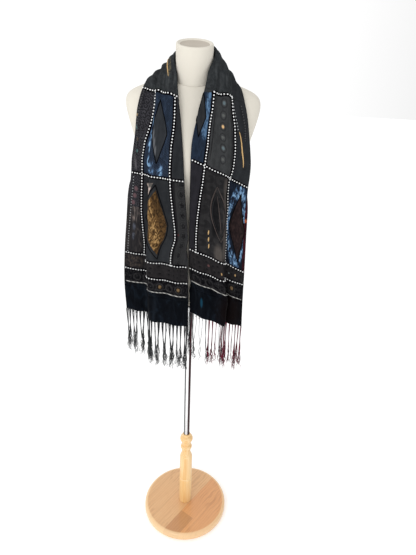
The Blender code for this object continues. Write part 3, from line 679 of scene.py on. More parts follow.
def on_cloth(side, from_hem, across):
    """The place and outward normal on the hung cloth at a flat distance from that side's hem and across."""
    along = from_hem if side == "left" else SCARF_LENGTH - from_hem
    row = min(float(np.interp(along, flat_along, np.arange(ROWS))), ROWS - 1.001)
    i, t = int(row), row - int(row)
    column = float(np.interp(across, flat_across[i] * (1 - t) + flat_across[i + 1] * t, np.arange(COLUMNS)))
    j, w = min(int(column), COLUMNS - 2), column - min(int(column), COLUMNS - 2)
    found = []
    for grid in (cloth, normals):
        found.append((grid[i, j] * (1 - w) + grid[i, j + 1] * w) * (1 - t)
                     + (grid[i + 1, j] * (1 - w) + grid[i + 1, j + 1] * w) * t)
    return found[0], found[1] / np.linalg.norm(found[1])


def eased(value, start, end):
    """Nought up to the start, one from the end on, and a smooth change between them."""
    share = np.clip((value - start) / (end - start), 0, 1)
    return share * share * (3 - 2 * share)


def seam_lines(side, from_hem):
    """Where the two long seams lie across the cloth at this distance from the hem."""
    if side == "left":
        inner = 0.050 + 0.035 * eased(from_hem, 0.20, 0.55)
        outer = 0.180 + 0.018 * eased(from_hem, 0.20, 0.35) - 0.048 * eased(from_hem, 0.38, 0.65)
    else:
        inner = 0.055 + 0.042 * eased(from_hem, 0.20, 0.62) - 0.012 * eased(from_hem, 0.66, 0.89)
        outer = 0.160 + 0.010 * eased(from_hem, 0.20, 0.30) - 0.006 * eased(from_hem, 0.35, 0.45)
        outer -= 0.014 * eased(from_hem, 0.66, 0.89)
    return inner, outer


CROSS_SEAMS = {
    # from_hem at the middle, how far the seam rises to its outer edge, how far it bows up, what covers it.
    # A plain seam is bare, and a top one has its ribbon between the two long seams only.
    "left": [
        (0.099, 0.000, 0.003, "braid"), (0.144, 0.000, 0.000, "ribbon"), (0.195, 0.000, 0.000, "ribbon"),
        (0.340, 0.000, 0.000, "plain"), (0.436, -0.010, 0.000, "ribbon"), (0.650, -0.015, 0.000, "ribbon"),
    ],
    "right": [
        (0.098, -0.018, 0.005, "braid"), (0.145, -0.005, 0.000, "ribbon"), (0.195, -0.025, 0.005, "ribbon"),
        (0.446, -0.025, 0.003, "ribbon"), (0.649, 0.050, 0.000, "top"),
    ],
}


def cross_seam(side, number, across):
    """The distance from the hem of a cross seam at a flat distance across."""
    middle, rise, bow, _ = CROSS_SEAMS[side][number]
    share = across / SCARF_WIDTH
    return middle + rise * (share - 0.5) + bow * np.sin(math.pi * share)


BLOCK = SCARF_WIDTH / 3
cut_place = np.zeros((ROWS, COLUMNS, 3), np.float32)
for r in range(ROWS):
    side = "left" if flat_along[r] <= HALF_LENGTH else "right"
    from_hem = flat_along[r] if side == "left" else SCARF_LENGTH - flat_along[r]
    inner_line, outer_line = seam_lines(side, from_hem)
    cut_place[r, :, 0] = np.interp(
        flat_across[r], [0, inner_line, outer_line, SCARF_WIDTH], [0, BLOCK, 2 * BLOCK, SCARF_WIDTH])
    cut_place[r, :, 1] = from_hem
    cut_place[r, :, 2] = flat_across[r] + (0.0 if side == "left" else 1.0)

# The patches
# Matt charcoal weave, crushed velvets in blue, brown and wine, and black devore scrollwork are cut in
# blocks, three across between two long seams. Each finish's pattern follows the flat cloth.
cloth_threads, inward, outward = new_group(
    "cloth_threads", {"Place": "Vector", "Thread": "Float"}, {"Height": "Float", "Shade": "Float"}
)
x, y, _ = add_node(cloth_threads, "ShaderNodeSeparateXYZ", {0: inward["Place"]}).outputs
turns = [times(cloth_threads, sums(cloth_threads, "DIVIDE", v, inward["Thread"]), math.pi) for v in (x, y)]
waves = [sums(cloth_threads, "ABSOLUTE", sums(cloth_threads, "SINE", v)) for v in turns]
cloth_threads.links.new(sums(cloth_threads, "MAXIMUM", *waves), outward.inputs["Height"])
uneven = clouds(cloth_threads, stretched(cloth_threads, inward["Place"], (300, 1400, 1)), 1.0, 2.0)
uneven = times(cloth_threads, uneven, clouds(cloth_threads, inward["Place"], 55.0, 3.0))
cloth_threads.links.new(times(cloth_threads, uneven, 3.2), outward.inputs["Shade"])

pile_lay, inward, outward = new_group(
    "pile_lay", {"Place": "Vector", "Patch": "Float", "Edge": "Float"}, {"Light": "Float", "Height": "Float"}
)
lengthened = stretched(pile_lay, inward["Place"], (1.6, 0.62, 0))
crushed = clouds(pile_lay, lengthened, sums(pile_lay, "DIVIDE", 1.0, inward["Patch"]), 5.0, 1.4)
upper = plus(pile_lay, 0.5, inward["Edge"])
lower = sums(pile_lay, "SUBTRACT", 0.5, inward["Edge"])
pile_lay.links.new(step_between(pile_lay, crushed, lower, upper), outward.inputs["Light"])
tufts = clouds(pile_lay, inward["Place"], 2600.0, 2.0)
height = plus(pile_lay, crushed, times(pile_lay, tufts, 0.12))
pile_lay.links.new(height, outward.inputs["Height"])

scroll_figure, inward, outward = new_group(
    "scroll_figure", {"Place": "Vector", "Size": "Float", "Turns": "Float"},
    {"Scroll": "Float", "Eye": "Float"},
)
scaled = add_node(scroll_figure, "ShaderNodeVectorMath", {0: inward["Place"]}, operation="SCALE")
scroll_figure.links.new(sums(scroll_figure, "DIVIDE", 1.0, inward["Size"]), scaled.inputs["Scale"])
cells = add_node(scroll_figure, "ShaderNodeTexVoronoi", {
    "Vector": scaled.outputs[0], "Scale": 1.0, "Randomness": 0.55}, voronoi_dimensions="2D")
away = add_node(scroll_figure, "ShaderNodeVectorMath", {
    0: scaled.outputs[0], 1: cells.outputs["Position"]}, operation="SUBTRACT").outputs[0]
x, y, _ = add_node(scroll_figure, "ShaderNodeSeparateXYZ", {0: away}).outputs
radius = cells.outputs["Distance"]
swirl = plus(scroll_figure, sums(scroll_figure, "ARCTAN2", y, x), times(
    scroll_figure, radius, inward["Turns"]))
swirl = sums(scroll_figure, "SINE", swirl)
scroll_figure.links.new(step_between(scroll_figure, swirl, -0.15, 0.25), outward.inputs["Scroll"])
scroll_figure.links.new(step_between(scroll_figure, radius, 0.20, 0.12), outward.inputs["Eye"])

motif_row, inward, outward = new_group(
    "motif_row",
    {"Place": "Vector", "Middle": "Float", "Pitch": "Float", "Radius": "Float", "Petals": "Float"},
    {"Petal": "Float", "Ring": "Float"},
)
x, y, _ = add_node(motif_row, "ShaderNodeSeparateXYZ", {0: inward["Place"]}).outputs
number = sums(motif_row, "FLOOR", plus(motif_row, sums(motif_row, "DIVIDE", y, inward["Pitch"]), 0.5))
pick = add_node(motif_row, "ShaderNodeTexWhiteNoise", {"W": number}, noise_dimensions="1D").outputs["Value"]
aside = sums(motif_row, "SUBTRACT", x, inward["Middle"])
half = times(motif_row, inward["Pitch"], 0.5)
up = sums(motif_row, "WRAP", y, half, times(motif_row, half, -1.0))
angle = plus(motif_row, sums(motif_row, "ARCTAN2", up, aside), times(motif_row, pick, 6.0))
radius = sums(motif_row, "DIVIDE", sums(motif_row, "SQRT", plus(
    motif_row, times(motif_row, aside, aside), times(motif_row, up, up))),
    inward["Radius"])
lobes = sums(motif_row, "COSINE", times(motif_row, angle, inward["Petals"]))
rim = sums(motif_row, "SUBTRACT", radius, times(motif_row, lobes, 0.17))
motif_row.links.new(step_between(motif_row, rim, 0.95, 0.75), outward.inputs["Petal"])
ring = sums(motif_row, "ABSOLUTE", sums(motif_row, "SUBTRACT", radius, 1.35))
motif_row.links.new(step_between(motif_row, ring, 0.24, 0.10), outward.inputs["Ring"])

soft_mark, inward, outward = new_group(
    "soft_mark", {"Place": "Vector", "Middle": "Vector", "Reach": "Vector"}, {"Inside": "Float"}
)
away = add_node(soft_mark, "ShaderNodeVectorMath", {
    0: inward["Place"], 1: inward["Middle"]}, operation="SUBTRACT")
away = add_node(soft_mark, "ShaderNodeVectorMath", {
    0: away.outputs[0], 1: inward["Reach"]}, operation="DIVIDE")
reach = add_node(soft_mark, "ShaderNodeVectorMath", {0: away.outputs[0]}, operation="LENGTH").outputs["Value"]
soft_mark.links.new(step_between(soft_mark, reach, 1.3, 0.5), outward.inputs["Inside"])


def cut_vector(tree):
    """The place on the flat cloth: across with each block as 80 mm, from the hem, and true across."""
    return add_node(tree, "ShaderNodeAttribute", attribute_name="cut_place").outputs["Vector"]


def marks_of(tree, place, marks):
    """Soft spots of a finish, each (side, from_hem, across, reach along, reach across), as one mask."""
    total = 0.0
    for side, from_hem, across, reach_along, reach_across in marks:
        middle = (0, from_hem, across + (0 if side == "left" else 1))
        mark = placed(tree, soft_mark, Place=place, Middle=middle, Reach=(1e6, reach_along, reach_across))
        total = plus(tree, total, mark["Inside"])
    return sums(tree, "MINIMUM", total, 1.0)


def row_up(side, first, pitch, count, across, reach_along, reach_across, lean=0.0):
    """Like spots one above the other at an even pitch, each a little further across by the lean."""
    return [(side, first + pitch * k, across + lean * k, reach_along, reach_across) for k in range(count)]


def row_across(side, from_hem, first, pitch, count, reach_along, reach_across):
    """Like spots side by side at an even pitch."""
    return [(side, from_hem, first + pitch * k, reach_along, reach_across) for k in range(count)]


def ring_of(side, middle, half_length, half_width, count, reach_along, reach_across):
    """Like spots evenly round an oval."""
    angles = [2 * math.pi * k / count for k in range(count)]
    return [(side, middle[0] + half_length * math.cos(a), middle[1] + half_width * math.sin(a),
             reach_along, reach_across) for a in angles]


def woven(name, dark, light, thread=0.0007):
    """A matt woven cloth whose threads differ a little."""
    material, tree, shader = new_finish(name, Roughness=0.8, Specular_IOR_Level=0.03)
    place = cut_vector(tree)
    threads = placed(tree, cloth_threads, Place=place, Thread=thread)
    hung = clouds(tree, stretched(tree, place, (110, 7, 1)), 1.0, 2.0)
    shade = plus(tree, times(tree, threads["Shade"], 0.6), sums(tree, "SUBTRACT", hung, 0.30))
    return material, tree, shader, place, threads, blended(tree, shade, dark, light)


def plain_weave(name, dark, light):
    """A woven cloth with nothing worked on it."""
    material, tree, shader, _, threads, colour = woven(name, dark, light)
    coloured(tree, shader, colour)
    raise_surface(tree, shader, threads["Height"], 0.35, 0.0004)
    return material


def velvet(name, patch, edge, stops, lights=(), rest=1.0):
    """A crushed velvet whose pile lies in patches, light where it leans towards the lamp."""
    material, tree, shader = new_finish(
        name, Roughness=0.5, Sheen_Weight=0.004, Sheen_Roughness=0.4, Specular_IOR_Level=0.02
    )
    place = cut_vector(tree)
    pile = placed(tree, pile_lay, Place=place, Patch=patch, Edge=edge)
    amount = pile["Light"]
    if lights:
        share = plus(tree, times(tree, marks_of(tree, place, lights), 1.0 - rest), rest)
        lifted = plus(tree, times(tree, amount, 0.75), 0.25)
        amount = times(tree, lifted, share)
    colour = shades(tree, amount, *stops)
    raise_surface(tree, shader, pile["Height"], 0.45, 0.0013)
    return material, tree, shader, place, pile, colour


charcoal = plain_weave("charcoal_weave", (0.010, 0.011, 0.013), (0.026, 0.028, 0.031))

neck_weave, tree, shader, place, threads, colour = woven(
    "neck_weave", (0.012, 0.014, 0.015), (0.038, 0.042, 0.045))
figure = placed(tree, scroll_figure, Place=place, Size=0.021, Turns=8.0)
colour = tinted(tree, colour, figure["Scroll"], 0.35, (0.012, 0.013, 0.015))
# Pale streaks along the hang are painted sheen on the folds of the cloth.
painted_fold_sheen = step_between(tree, clouds(tree, stretched(tree, place, (60, 18, 0)), 1.0, 4.0), 0.5, 0.8)
colour = tinted(tree, colour, painted_fold_sheen, 0.45, (0.085, 0.092, 0.096))
olive = marks_of(tree, place, row_up("left", 0.74, 0.045, 2, 0.11, 0.035, 0.009, lean=0.045))
olive = times(tree, olive, step_between(tree, clouds(tree, place, 220.0), 0.42, 0.62))
colour = tinted(tree, colour, olive, 0.7, (0.20, 0.17, 0.105))
coloured(tree, shader, colour)
raised = plus(tree, figure["Scroll"], times(tree, threads["Height"], 0.25))
raise_surface(tree, shader, raised, 0.5, 0.0008)

night = plain_weave("night_weave", (0.0085, 0.0085, 0.010), (0.022, 0.021, 0.026))

BLUES = [(0.0, (0.004, 0.006, 0.010)), (0.25, (0.010, 0.014, 0.024)), (0.45, (0.024, 0.040, 0.072)),
         (0.70, (0.080, 0.155, 0.275)), (1.0, (0.24, 0.40, 0.58))]
lights = row_up("left", 0.48, 0.032, 6, 0.162, 0.018, 0.004, lean=-0.003)
lights += row_across("left", 0.455, 0.110, 0.025, 3, 0.022, 0.009)
blue_left, tree, shader, place, pile, colour = velvet(
    "blue_crushed_velvet", 0.016, 0.16, BLUES, lights, rest=0.34)
ribs = placed(tree, cloth_threads, Place=add_node(tree, "ShaderNodeMapping", {
    "Vector": place, "Rotation": (0, 0, 0.7)}).outputs[0], Thread=0.0034)
ribs = times(tree, sums(tree, "POWER", ribs["Height"], 6.0), 0.16)
coloured(tree, shader, blended(tree, ribs, colour, (0.10, 0.15, 0.24)))

STEEL_BLUES = [(0.0, (0.008, 0.012, 0.020)), (0.3, (0.016, 0.026, 0.046)), (0.6, (0.050, 0.095, 0.165)),
               (1.0, (0.125, 0.225, 0.36))]
lights = row_up("right", 0.54, 0.033, 4, 0.080, 0.022, 0.010, lean=0.003)
blue_inner, tree, shader, place, pile, colour = velvet(
    "steel_blue_velvet", 0.010, 0.3, STEEL_BLUES, lights, rest=0.30)
coloured(tree, shader, colour)

lights = ring_of("right", (0.31, 0.206), 0.105, 0.025, 16, 0.030, 0.005)
blue_outer, tree, shader, place, pile, colour = velvet(
    "blue_crackled_velvet", 0.013, 0.14, BLUES, lights, rest=0.28)
coloured(tree, shader, colour)

lights = [("left", 0.32, 0.215, 0.025, 0.015)]
brown_velvet, tree, shader, place, pile, colour = velvet("brown_velvet", 0.022, 0.22, [
    (0.0, (0.008, 0.008, 0.010)), (0.35, (0.024, 0.022, 0.023)), (0.7, (0.080, 0.068, 0.064)),
    (1.0, (0.20, 0.16, 0.145))], lights, rest=0.5)
blue_glint = marks_of(tree, place, row_up("left", 0.25, 0.03, 2, 0.215, 0.012, 0.005))
blue_glint = times(tree, blue_glint, times(tree, pile["Light"], 0.35))
coloured(tree, shader, blended(tree, blue_glint, colour, (0.16, 0.19, 0.26)))

wine_velvet, tree, shader, place, pile, colour = velvet("wine_velvet", 0.02, 0.3, [
    (0.0, (0.008, 0.003, 0.004)), (0.5, (0.026, 0.006, 0.010)), (1.0, (0.070, 0.012, 0.020))])
ember = marks_of(tree, place, [("right", 0.34, 0.235, 0.006, 0.004)])
coloured(tree, shader, blended(tree, ember, colour, (0.36, 0.09, 0.04)))

black_velvet, tree, shader, place, pile, colour = velvet("black_velvet", 0.03, 0.3, [
    (0.0, (0.0012, 0.0016, 0.0028)), (0.6, (0.0026, 0.0036, 0.0056)), (0.9, (0.0050, 0.0080, 0.0125)),
    (1.0, (0.0085, 0.0140, 0.0220))])
# A narrow teal streak on the right band is a painted highlight, the velvet's coloured sheen.
painted_teal_sheen = marks_of(tree, place, [("right", 0.05, 0.04, 0.016, 0.004)])
draped_light = step_between(tree, clouds(tree, stretched(tree, place, (75, 5, 1)), 1.0, 2.0), 0.55, 0.80)
colour = tinted(tree, colour, draped_light, 0.6, (0.012, 0.016, 0.022))
warm_side = marks_of(tree, place, [("right", 0.04, 0.17, 0.08, 0.085)])
colour = tinted(tree, colour, warm_side, 0.8, (0.0042, 0.0020, 0.0018))
coloured(tree, shader, tinted(tree, colour, painted_teal_sheen, 0.4, (0.012, 0.085, 0.15)))

scroll_velvet, tree, shader, place, threads, ground = woven(
    "scroll_velvet", (0.010, 0.010, 0.013), (0.050, 0.049, 0.056))
figure = placed(tree, scroll_figure, Place=place, Size=0.012, Turns=12.0)
colour = blended(tree, times(tree, figure["Scroll"], 0.8), ground, (0.0075, 0.0075, 0.009))
rosy = marks_of(tree, place, row_up("left", 0.35, 0.02, 3, 0.222, 0.007, 0.006, lean=-0.004))
colour = tinted(tree, colour, rosy, 0.55, (0.17, 0.095, 0.105))
# A painted grey highlight near the lower outer edge of the block.
painted_grey_highlight = marks_of(tree, place, [("left", 0.46, 0.21, 0.02, 0.004)])
colour = tinted(tree, colour, painted_grey_highlight, 0.6, (0.15, 0.14, 0.155))
gold_spot = marks_of(tree, place, row_up("left", 0.52, 0.06, 2, 0.205, 0.0035, 0.0025))
colour = tinted(tree, colour, gold_spot, 0.75, (0.40, 0.28, 0.15))
teal_spot = marks_of(tree, place, row_up("left", 0.49, 0.06, 2, 0.205, 0.0045, 0.003))
colour = tinted(tree, colour, teal_spot, 0.65, (0.11, 0.22, 0.22))
coloured(tree, shader, colour)
raised = plus(tree, figure["Scroll"], times(tree, threads["Height"], 0.2))
raise_surface(tree, shader, raised, 0.6, 0.0009)

gold_scroll, tree, shader, place, threads, ground = woven(
    "gold_scroll_band", (0.004, 0.004, 0.005), (0.013, 0.0125, 0.014))
figure = placed(tree, scroll_figure, Place=place, Size=0.019, Turns=9.0)
colour = blended(tree, figure["Scroll"], ground, (0.0020, 0.0020, 0.0030))
ROSETTES = 0.12
rims = marks_of(tree, place, row_across("left", ROSETTES, 0.03, 0.028, 7, 0.012, 0.011)
                + row_across("right", ROSETTES, 0.04, 0.040, 5, 0.013, 0.012))
ring = times(tree, step_between(tree, rims, 0.05, 0.35), step_between(tree, rims, 0.95, 0.6))
colour = tinted(tree, colour, ring, 0.22, (0.060, 0.058, 0.058))
glints = step_between(tree, clouds(tree, place, 240.0, 3.0), 0.56, 0.72)
colour = tinted(tree, colour, glints, 0.5, (0.065, 0.065, 0.068))
golds = marks_of(tree, place, row_across("left", ROSETTES, 0.03, 0.056, 2, 0.006, 0.005)
                 + row_across("right", ROSETTES, 0.16, 0.040, 2, 0.006, 0.005))
crumbs = step_between(tree, clouds(tree, place, 300.0, 2.0), 0.3, 0.7)
golds = times(tree, golds, plus(tree, 0.25, times(tree, crumbs, 0.6)))
colour = blended(tree, golds, colour, (0.24, 0.155, 0.075))
coloured(tree, shader, colour)
raise_surface(tree, shader, plus(tree, figure["Scroll"], ring), 0.6, 0.0009)

small_motifs, tree, shader, place, threads, ground = woven(
    "small_motif_cloth", (0.008, 0.0075, 0.0085), (0.023, 0.021, 0.022))
figure = placed(tree, scroll_figure, Place=place, Size=0.016, Turns=9.0)
colour = blended(tree, times(tree, figure["Eye"], 0.8), ground, (0.004, 0.004, 0.005))
colour = tinted(tree, colour, figure["Scroll"], 0.35, (0.008, 0.008, 0.009))
ember = marks_of(tree, place, [("right", 0.175, 0.09, 0.004, 0.004)])
colour = tinted(tree, colour, ember, 0.6, (0.14, 0.065, 0.065))
gold_dot = marks_of(tree, place, row_across("right", 0.165, 0.13, 0.04, 3, 0.004, 0.0022))
colour = blended(tree, gold_dot, colour, (0.42, 0.27, 0.12))
pale_dot = marks_of(tree, place, row_across("right", 0.165, 0.15, 0.04, 2, 0.003, 0.0025))
colour = tinted(tree, colour, pale_dot, 0.6, (0.18, 0.21, 0.21))
brownish = marks_of(tree, place, [("left", 0.17, 0.21, 0.025, 0.03)])
patchy = times(tree, brownish, step_between(tree, clouds(tree, place, 110.0), 0.4, 0.7))
colour = tinted(tree, colour, patchy, 0.6, (0.075, 0.058, 0.048))
coloured(tree, shader, colour)
raise_surface(tree, shader, plus(tree, figure["Eye"], threads["Height"]), 0.4, 0.0006)

motif_cloth, tree, shader, place, threads, ground = woven(
    "motif_cloth", (0.014, 0.014, 0.015), (0.031, 0.031, 0.032))
flowers = placed(tree, motif_row, Place=add_node(tree, "ShaderNodeVectorMath", {
    0: place, 1: (0, 0.0035, 0)}).outputs[0], Middle=0.048, Pitch=0.029, Radius=0.0088, Petals=5.0)
worked = step_between(tree, clouds(tree, place, 330.0, 2.0), 0.30, 0.62)
colour = blended(tree, times(tree, flowers["Petal"], worked), ground, (0.0040, 0.0040, 0.0050))
colour = tinted(tree, colour, flowers["Ring"], 0.45, (0.010, 0.010, 0.011))
ember = marks_of(tree, place, [("left", 0.29, 0.048, 0.0035, 0.0035)])
colour = tinted(tree, colour, ember, 0.7, (0.085, 0.022, 0.021))
border = step_between(tree, add_node(tree, "ShaderNodeSeparateXYZ", {0: place}).outputs[0], 0.066, 0.069)
colour = tinted(tree, colour, border, 0.7, (0.006, 0.006, 0.007))
coloured(tree, shader, colour)
raised = plus(tree, flowers["Petal"], times(tree, threads["Height"], 0.3))
raise_surface(tree, shader, raised, 0.5, 0.0007)

medallions, tree, shader, place, threads, ground = woven(
    "medallion_cloth", (0.016, 0.017, 0.018), (0.046, 0.048, 0.050))
FIRST_MEDALLION, MEDALLION_PITCH, MEDALLION_ROW = 0.485, 0.029, 0.131
dark_ovals = marks_of(tree, place, row_up(
    "right", FIRST_MEDALLION, MEDALLION_PITCH, 6, MEDALLION_ROW, 0.011, 0.008))
ring = times(tree, step_between(tree, dark_ovals, 0.02, 0.30), step_between(tree, dark_ovals, 1.0, 0.6))
crumbs = step_between(tree, clouds(tree, place, 260.0, 2.0), 0.35, 0.65)
ring = times(tree, ring, plus(tree, 0.3, times(tree, crumbs, 0.5)))
colour = blended(tree, ring, ground, (0.009, 0.009, 0.011))
colour = blended(tree, times(tree, dark_ovals, times(tree, crumbs, 0.25)), colour, (0.11, 0.115, 0.115))
greys = marks_of(tree, place, row_up(
    "right", FIRST_MEDALLION, 2 * MEDALLION_PITCH, 3, MEDALLION_ROW, 0.004, 0.004))
colour = tinted(tree, colour, greys, 0.6, (0.115, 0.12, 0.115))
blues = marks_of(tree, place, row_up(
    "right", FIRST_MEDALLION + MEDALLION_PITCH, 4 * MEDALLION_PITCH, 2, MEDALLION_ROW, 0.005, 0.004))
colour = tinted(tree, colour, blues, 0.7, (0.13, 0.18, 0.20))
gold_place = FIRST_MEDALLION + 3 * MEDALLION_PITCH
gold_heart = marks_of(tree, place, [("right", gold_place, MEDALLION_ROW, 0.005, 0.0035)])
colour = blended(tree, gold_heart, colour, (0.66, 0.42, 0.20))
coloured(tree, shader, colour)
raised = plus(tree, ring, times(tree, threads["Height"], 0.3))
raise_surface(tree, shader, raised, 0.5, 0.0007)

floral, tree, shader, place, threads, ground = woven(
    "floral_devore", (0.010, 0.010, 0.011), (0.030, 0.029, 0.030))
figure = placed(tree, scroll_figure, Place=place, Size=0.030, Turns=7.0)
colour = blended(tree, times(tree, figure["Scroll"], 0.45), ground, (0.008, 0.008, 0.009))
brown_part = marks_of(tree, place, row_up("right", 0.24, 0.055, 4, 0.148, 0.04, 0.010)
                      + [("right", 0.22, 0.125, 0.03, 0.015)])
folds = clouds(tree, stretched(tree, place, (260, 22, 0)), 1.0, 3.0)
brown_part = times(tree, brown_part, plus(tree, 0.35, times(tree, folds, 0.7)))
colour = blended(tree, brown_part, colour, (0.092, 0.080, 0.072))
black_part = marks_of(tree, place, row_up("right", 0.30, 0.05, 2, 0.115, 0.035, 0.013))
colour = tinted(tree, colour, black_part, 0.75, (0.005, 0.005, 0.006))
coloured(tree, shader, colour)
raise_surface(tree, shader, plus(tree, figure["Scroll"], threads["Height"]), 0.5, 0.0008)

PATCHES = [
    charcoal, neck_weave, night, blue_left, blue_inner, blue_outer, brown_velvet, wine_velvet, black_velvet,
    scroll_velvet, gold_scroll, small_motifs, motif_cloth, medallions, floral,
]
BLOCKS = {
    # rows from the hem up, parted by the cross seams, each with its inner, centre and outer patches
    "left": [
        (black_velvet, black_velvet, black_velvet),
        (gold_scroll, gold_scroll, gold_scroll),
        (small_motifs, small_motifs, small_motifs),
        (motif_cloth, charcoal, brown_velvet),
        (motif_cloth, charcoal, scroll_velvet),
        (charcoal, blue_left, scroll_velvet),
        (neck_weave, neck_weave, neck_weave),
    ],
    "right": [
        (black_velvet, black_velvet, black_velvet),
        (gold_scroll, gold_scroll, gold_scroll),
        (small_motifs, small_motifs, small_motifs),
        (night, floral, blue_outer),
        (blue_inner, medallions, charcoal),
        (neck_weave, neck_weave, charcoal),
    ],
}
WINE_EDGE = 0.230


def patch_of(place):
    """The number of the patch at a place on the flat cloth."""
    side = "left" if place[2] < 0.5 else "right"
    across = place[2] if side == "left" else place[2] - 1
    below = [place[1] >= cross_seam(side, n, across) for n in range(len(CROSS_SEAMS[side]))]
    row = sum(below)
    patch = BLOCKS[side][row][min(int(place[0] / BLOCK), 2)]
    if side == "right" and across > WINE_EDGE and 3 <= row <= 4:
        patch = wine_velvet
    return PATCHES.index(patch)


panels = {}
first_row = 0
for name, piece_end, piece_rows, node, slot in SCARF_PIECES:
    last_row = first_row + piece_rows * ROW_FACTOR
    points = cloth[first_row:last_row + 1].reshape(-1, 3)
    faces = []
    numbers = []
    for r in range(first_row, last_row):
        for c in range(COLUMNS - 1):
            a = (r - first_row) * COLUMNS + c
            faces.append((a, a + COLUMNS, a + COLUMNS + 1, a + 1))
            numbers.append(patch_of(cut_place[r:r + 2, c:c + 2].mean(axis=(0, 1))))
    panel = grid_piece(name, points, faces, PATCHES)
    panel.data.polygons.foreach_set("material_index", numbers)
    places = panel.data.attributes.new("cut_place", "FLOAT_VECTOR", "POINT")
    places.data.foreach_set("vector", cut_place[first_row:last_row + 1].ravel())
    wall = panel.modifiers.new("Wall", "SOLIDIFY")
    wall.thickness = CLOTH_THICK
    wall.offset = 0
    bpy.context.view_layer.objects.active = panel
    bpy.ops.object.modifier_apply(modifier=wall.name)
    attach(panel, "root")
    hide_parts(node)
    panels[name] = panel
    first_row = last_row
bpy.ops.object.select_all(action="DESELECT")

# The seam ribbons
# Black velvet ribbon, 10 mm wide, covers most seams between blocks and is stitched along both edges.
# Each is a strip with rounded edges that follows its seam on the hung cloth.


def visible_edges(side, from_hem):
    """The flat distances across at which the cloth in sight starts and ends."""
    tucks = section_at(from_hem if side == "left" else SCARF_LENGTH - from_hem)[2]
    inner, outer = [sum(tuck_lengths(tuck)[1:]) for tuck in tucks]
    return inner, SCARF_WIDTH - outer


def flat_path(corners, spacing=0.004):
    """Evenly spaced points (from_hem, across) along a line with these corners on the flat cloth."""
    corners = np.array(corners, float)
    reach = np.concatenate([[0], np.cumsum(np.linalg.norm(np.diff(corners, axis=0), axis=1))])
    even = np.linspace(0, reach[-1], max(2, round(reach[-1] / spacing) + 1))
    return np.stack([np.interp(even, reach, corners[:, k]) for k in (0, 1)], 1)


def column_path(side, line, start, end):
    """The path of a long seam, inner 0 or outer 1, between two distances from the hem."""
    return flat_path([(s, seam_lines(side, s)[line]) for s in np.arange(start, end + 0.001, 0.01)])


def row_path(side, number, ends=None):
    """The path of a cross seam, to both edges of the cloth in sight or between two places across."""
    inner, outer = ends or visible_edges(side, CROSS_SEAMS[side][number][0])
    across = np.linspace(inner + 0.001, outer - 0.001, 25)
    return flat_path(np.stack([cross_seam(side, number, across), across], 1))


def sewn_strip(side, path, section, widths=None):
    """A closed strip along a path on the cloth, whose cross-section is (aside, lift) points in metres."""
    heading = np.gradient(path, axis=0)
    heading /= np.linalg.norm(heading, axis=1, keepdims=True)
    aside = np.stack([-heading[:, 1], heading[:, 0]], 1)
    points = []
    for k, (place, sideways) in enumerate(zip(path, aside)):
        size = 1.0 if widths is None else widths[k]
        for offset, lift in section:
            spot, normal = on_cloth(side, *(place + sideways * offset * size))
            points.append(spot + normal * lift * min(1.0, 0.4 + 0.6 * size))
    n = len(section)
    faces = [tuple(range(n)), tuple(range(len(points) - 1, len(points) - n - 1, -1))]
    for k in range(len(path) - 1):
        for i in range(n):
            a, b = k * n + i, k * n + (i + 1) % n
            faces.append((a, b, b + n, a + n))
    return points, faces


def joined(parts):
    """The points and faces of several parts as one list of each."""
    points, faces = [], []
    for part_points, part_faces in parts:
        faces += [tuple(len(points) + i for i in face) for face in part_faces]
        points += list(part_points)
    return points, faces


def sewn_piece(name, parts, material):
    """One piece made of several closed parts, its faces turned outwards."""
    piece = grid_piece(name, *joined(parts), [material])
    bpy.context.view_layer.objects.active = piece
    bpy.ops.object.mode_set(mode="EDIT")
    bpy.ops.mesh.select_all(action="SELECT")
    bpy.ops.mesh.normals_make_consistent(inside=False)
    bpy.ops.object.mode_set(mode="OBJECT")
    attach(piece, "root")
    return piece


ribbon_velvet, tree, shader = new_finish(
    "ribbon_velvet", Roughness=0.7, Specular_IOR_Level=0.01
)
nap = clouds(tree, own_place(tree), 900.0, 2.0)
coloured(tree, shader, blended(tree, nap, (0.0010, 0.0010, 0.0014), (0.0038, 0.0038, 0.0048)))
raise_surface(tree, shader, nap, 0.4, 0.0005)

RIBBON = [(-0.005, -0.0002), (-0.005, 0.0010), (-0.0042, 0.0016), (0.0, 0.0018), (0.0042, 0.0016),
          (0.005, 0.0010), (0.005, -0.0002)]
FIRST_RIBBON_ROW = 2
sewn_paths = {name: [] for name in ("left_panel", "neck_stretch", "right_panel")}
sewn_on = {name: [] for name in panels}
for side in ("left", "right"):
    for line in (0, 1):
        start, end = [cross_seam(side, n, seam_lines(side, CROSS_SEAMS[side][n][0])[line])
                      for n in (FIRST_RIBBON_ROW, len(CROSS_SEAMS[side]) - 1)]
        sewn_paths[f"{side}_panel"].append((side, column_path(side, line, start, end)))
    for number, (*_, cover) in enumerate(CROSS_SEAMS[side]):
        if cover == "ribbon":
            sewn_paths[f"{side}_panel"].append((side, row_path(side, number)))
        elif cover == "top":
            ends = seam_lines(side, CROSS_SEAMS[side][number][0])
            sewn_paths[f"{side}_panel"].append((side, row_path(side, number, ends)))
inner, outer = visible_edges("left", HALF_LENGTH)
back_row = flat_path([(HALF_LENGTH, inner + 0.001), (HALF_LENGTH, outer - 0.001)])
sewn_paths["neck_stretch"].append(("left", back_row))
for name, paths in sewn_paths.items():
    parts = [sewn_strip(side, path, RIBBON) for side, path in paths]
    sewn_on[name].append(sewn_piece(f"{name}_ribbons", parts, ribbon_velvet))

# The beads
# Small silvery glass beads are sewn singly along the middle of every ribbon, about 8 mm apart.
# One low bead is modelled and copied to each place, lying along its seam.


def bead_finish(name, spread, dark, light, **sockets):
    """A glass bead whose colour differs a little from bead to bead."""
    material, tree, shader = new_finish(name, **sockets)
    coloured(tree, shader, blended(tree, clouds(tree, own_place(tree), spread, 1.0), dark, light))
    return material


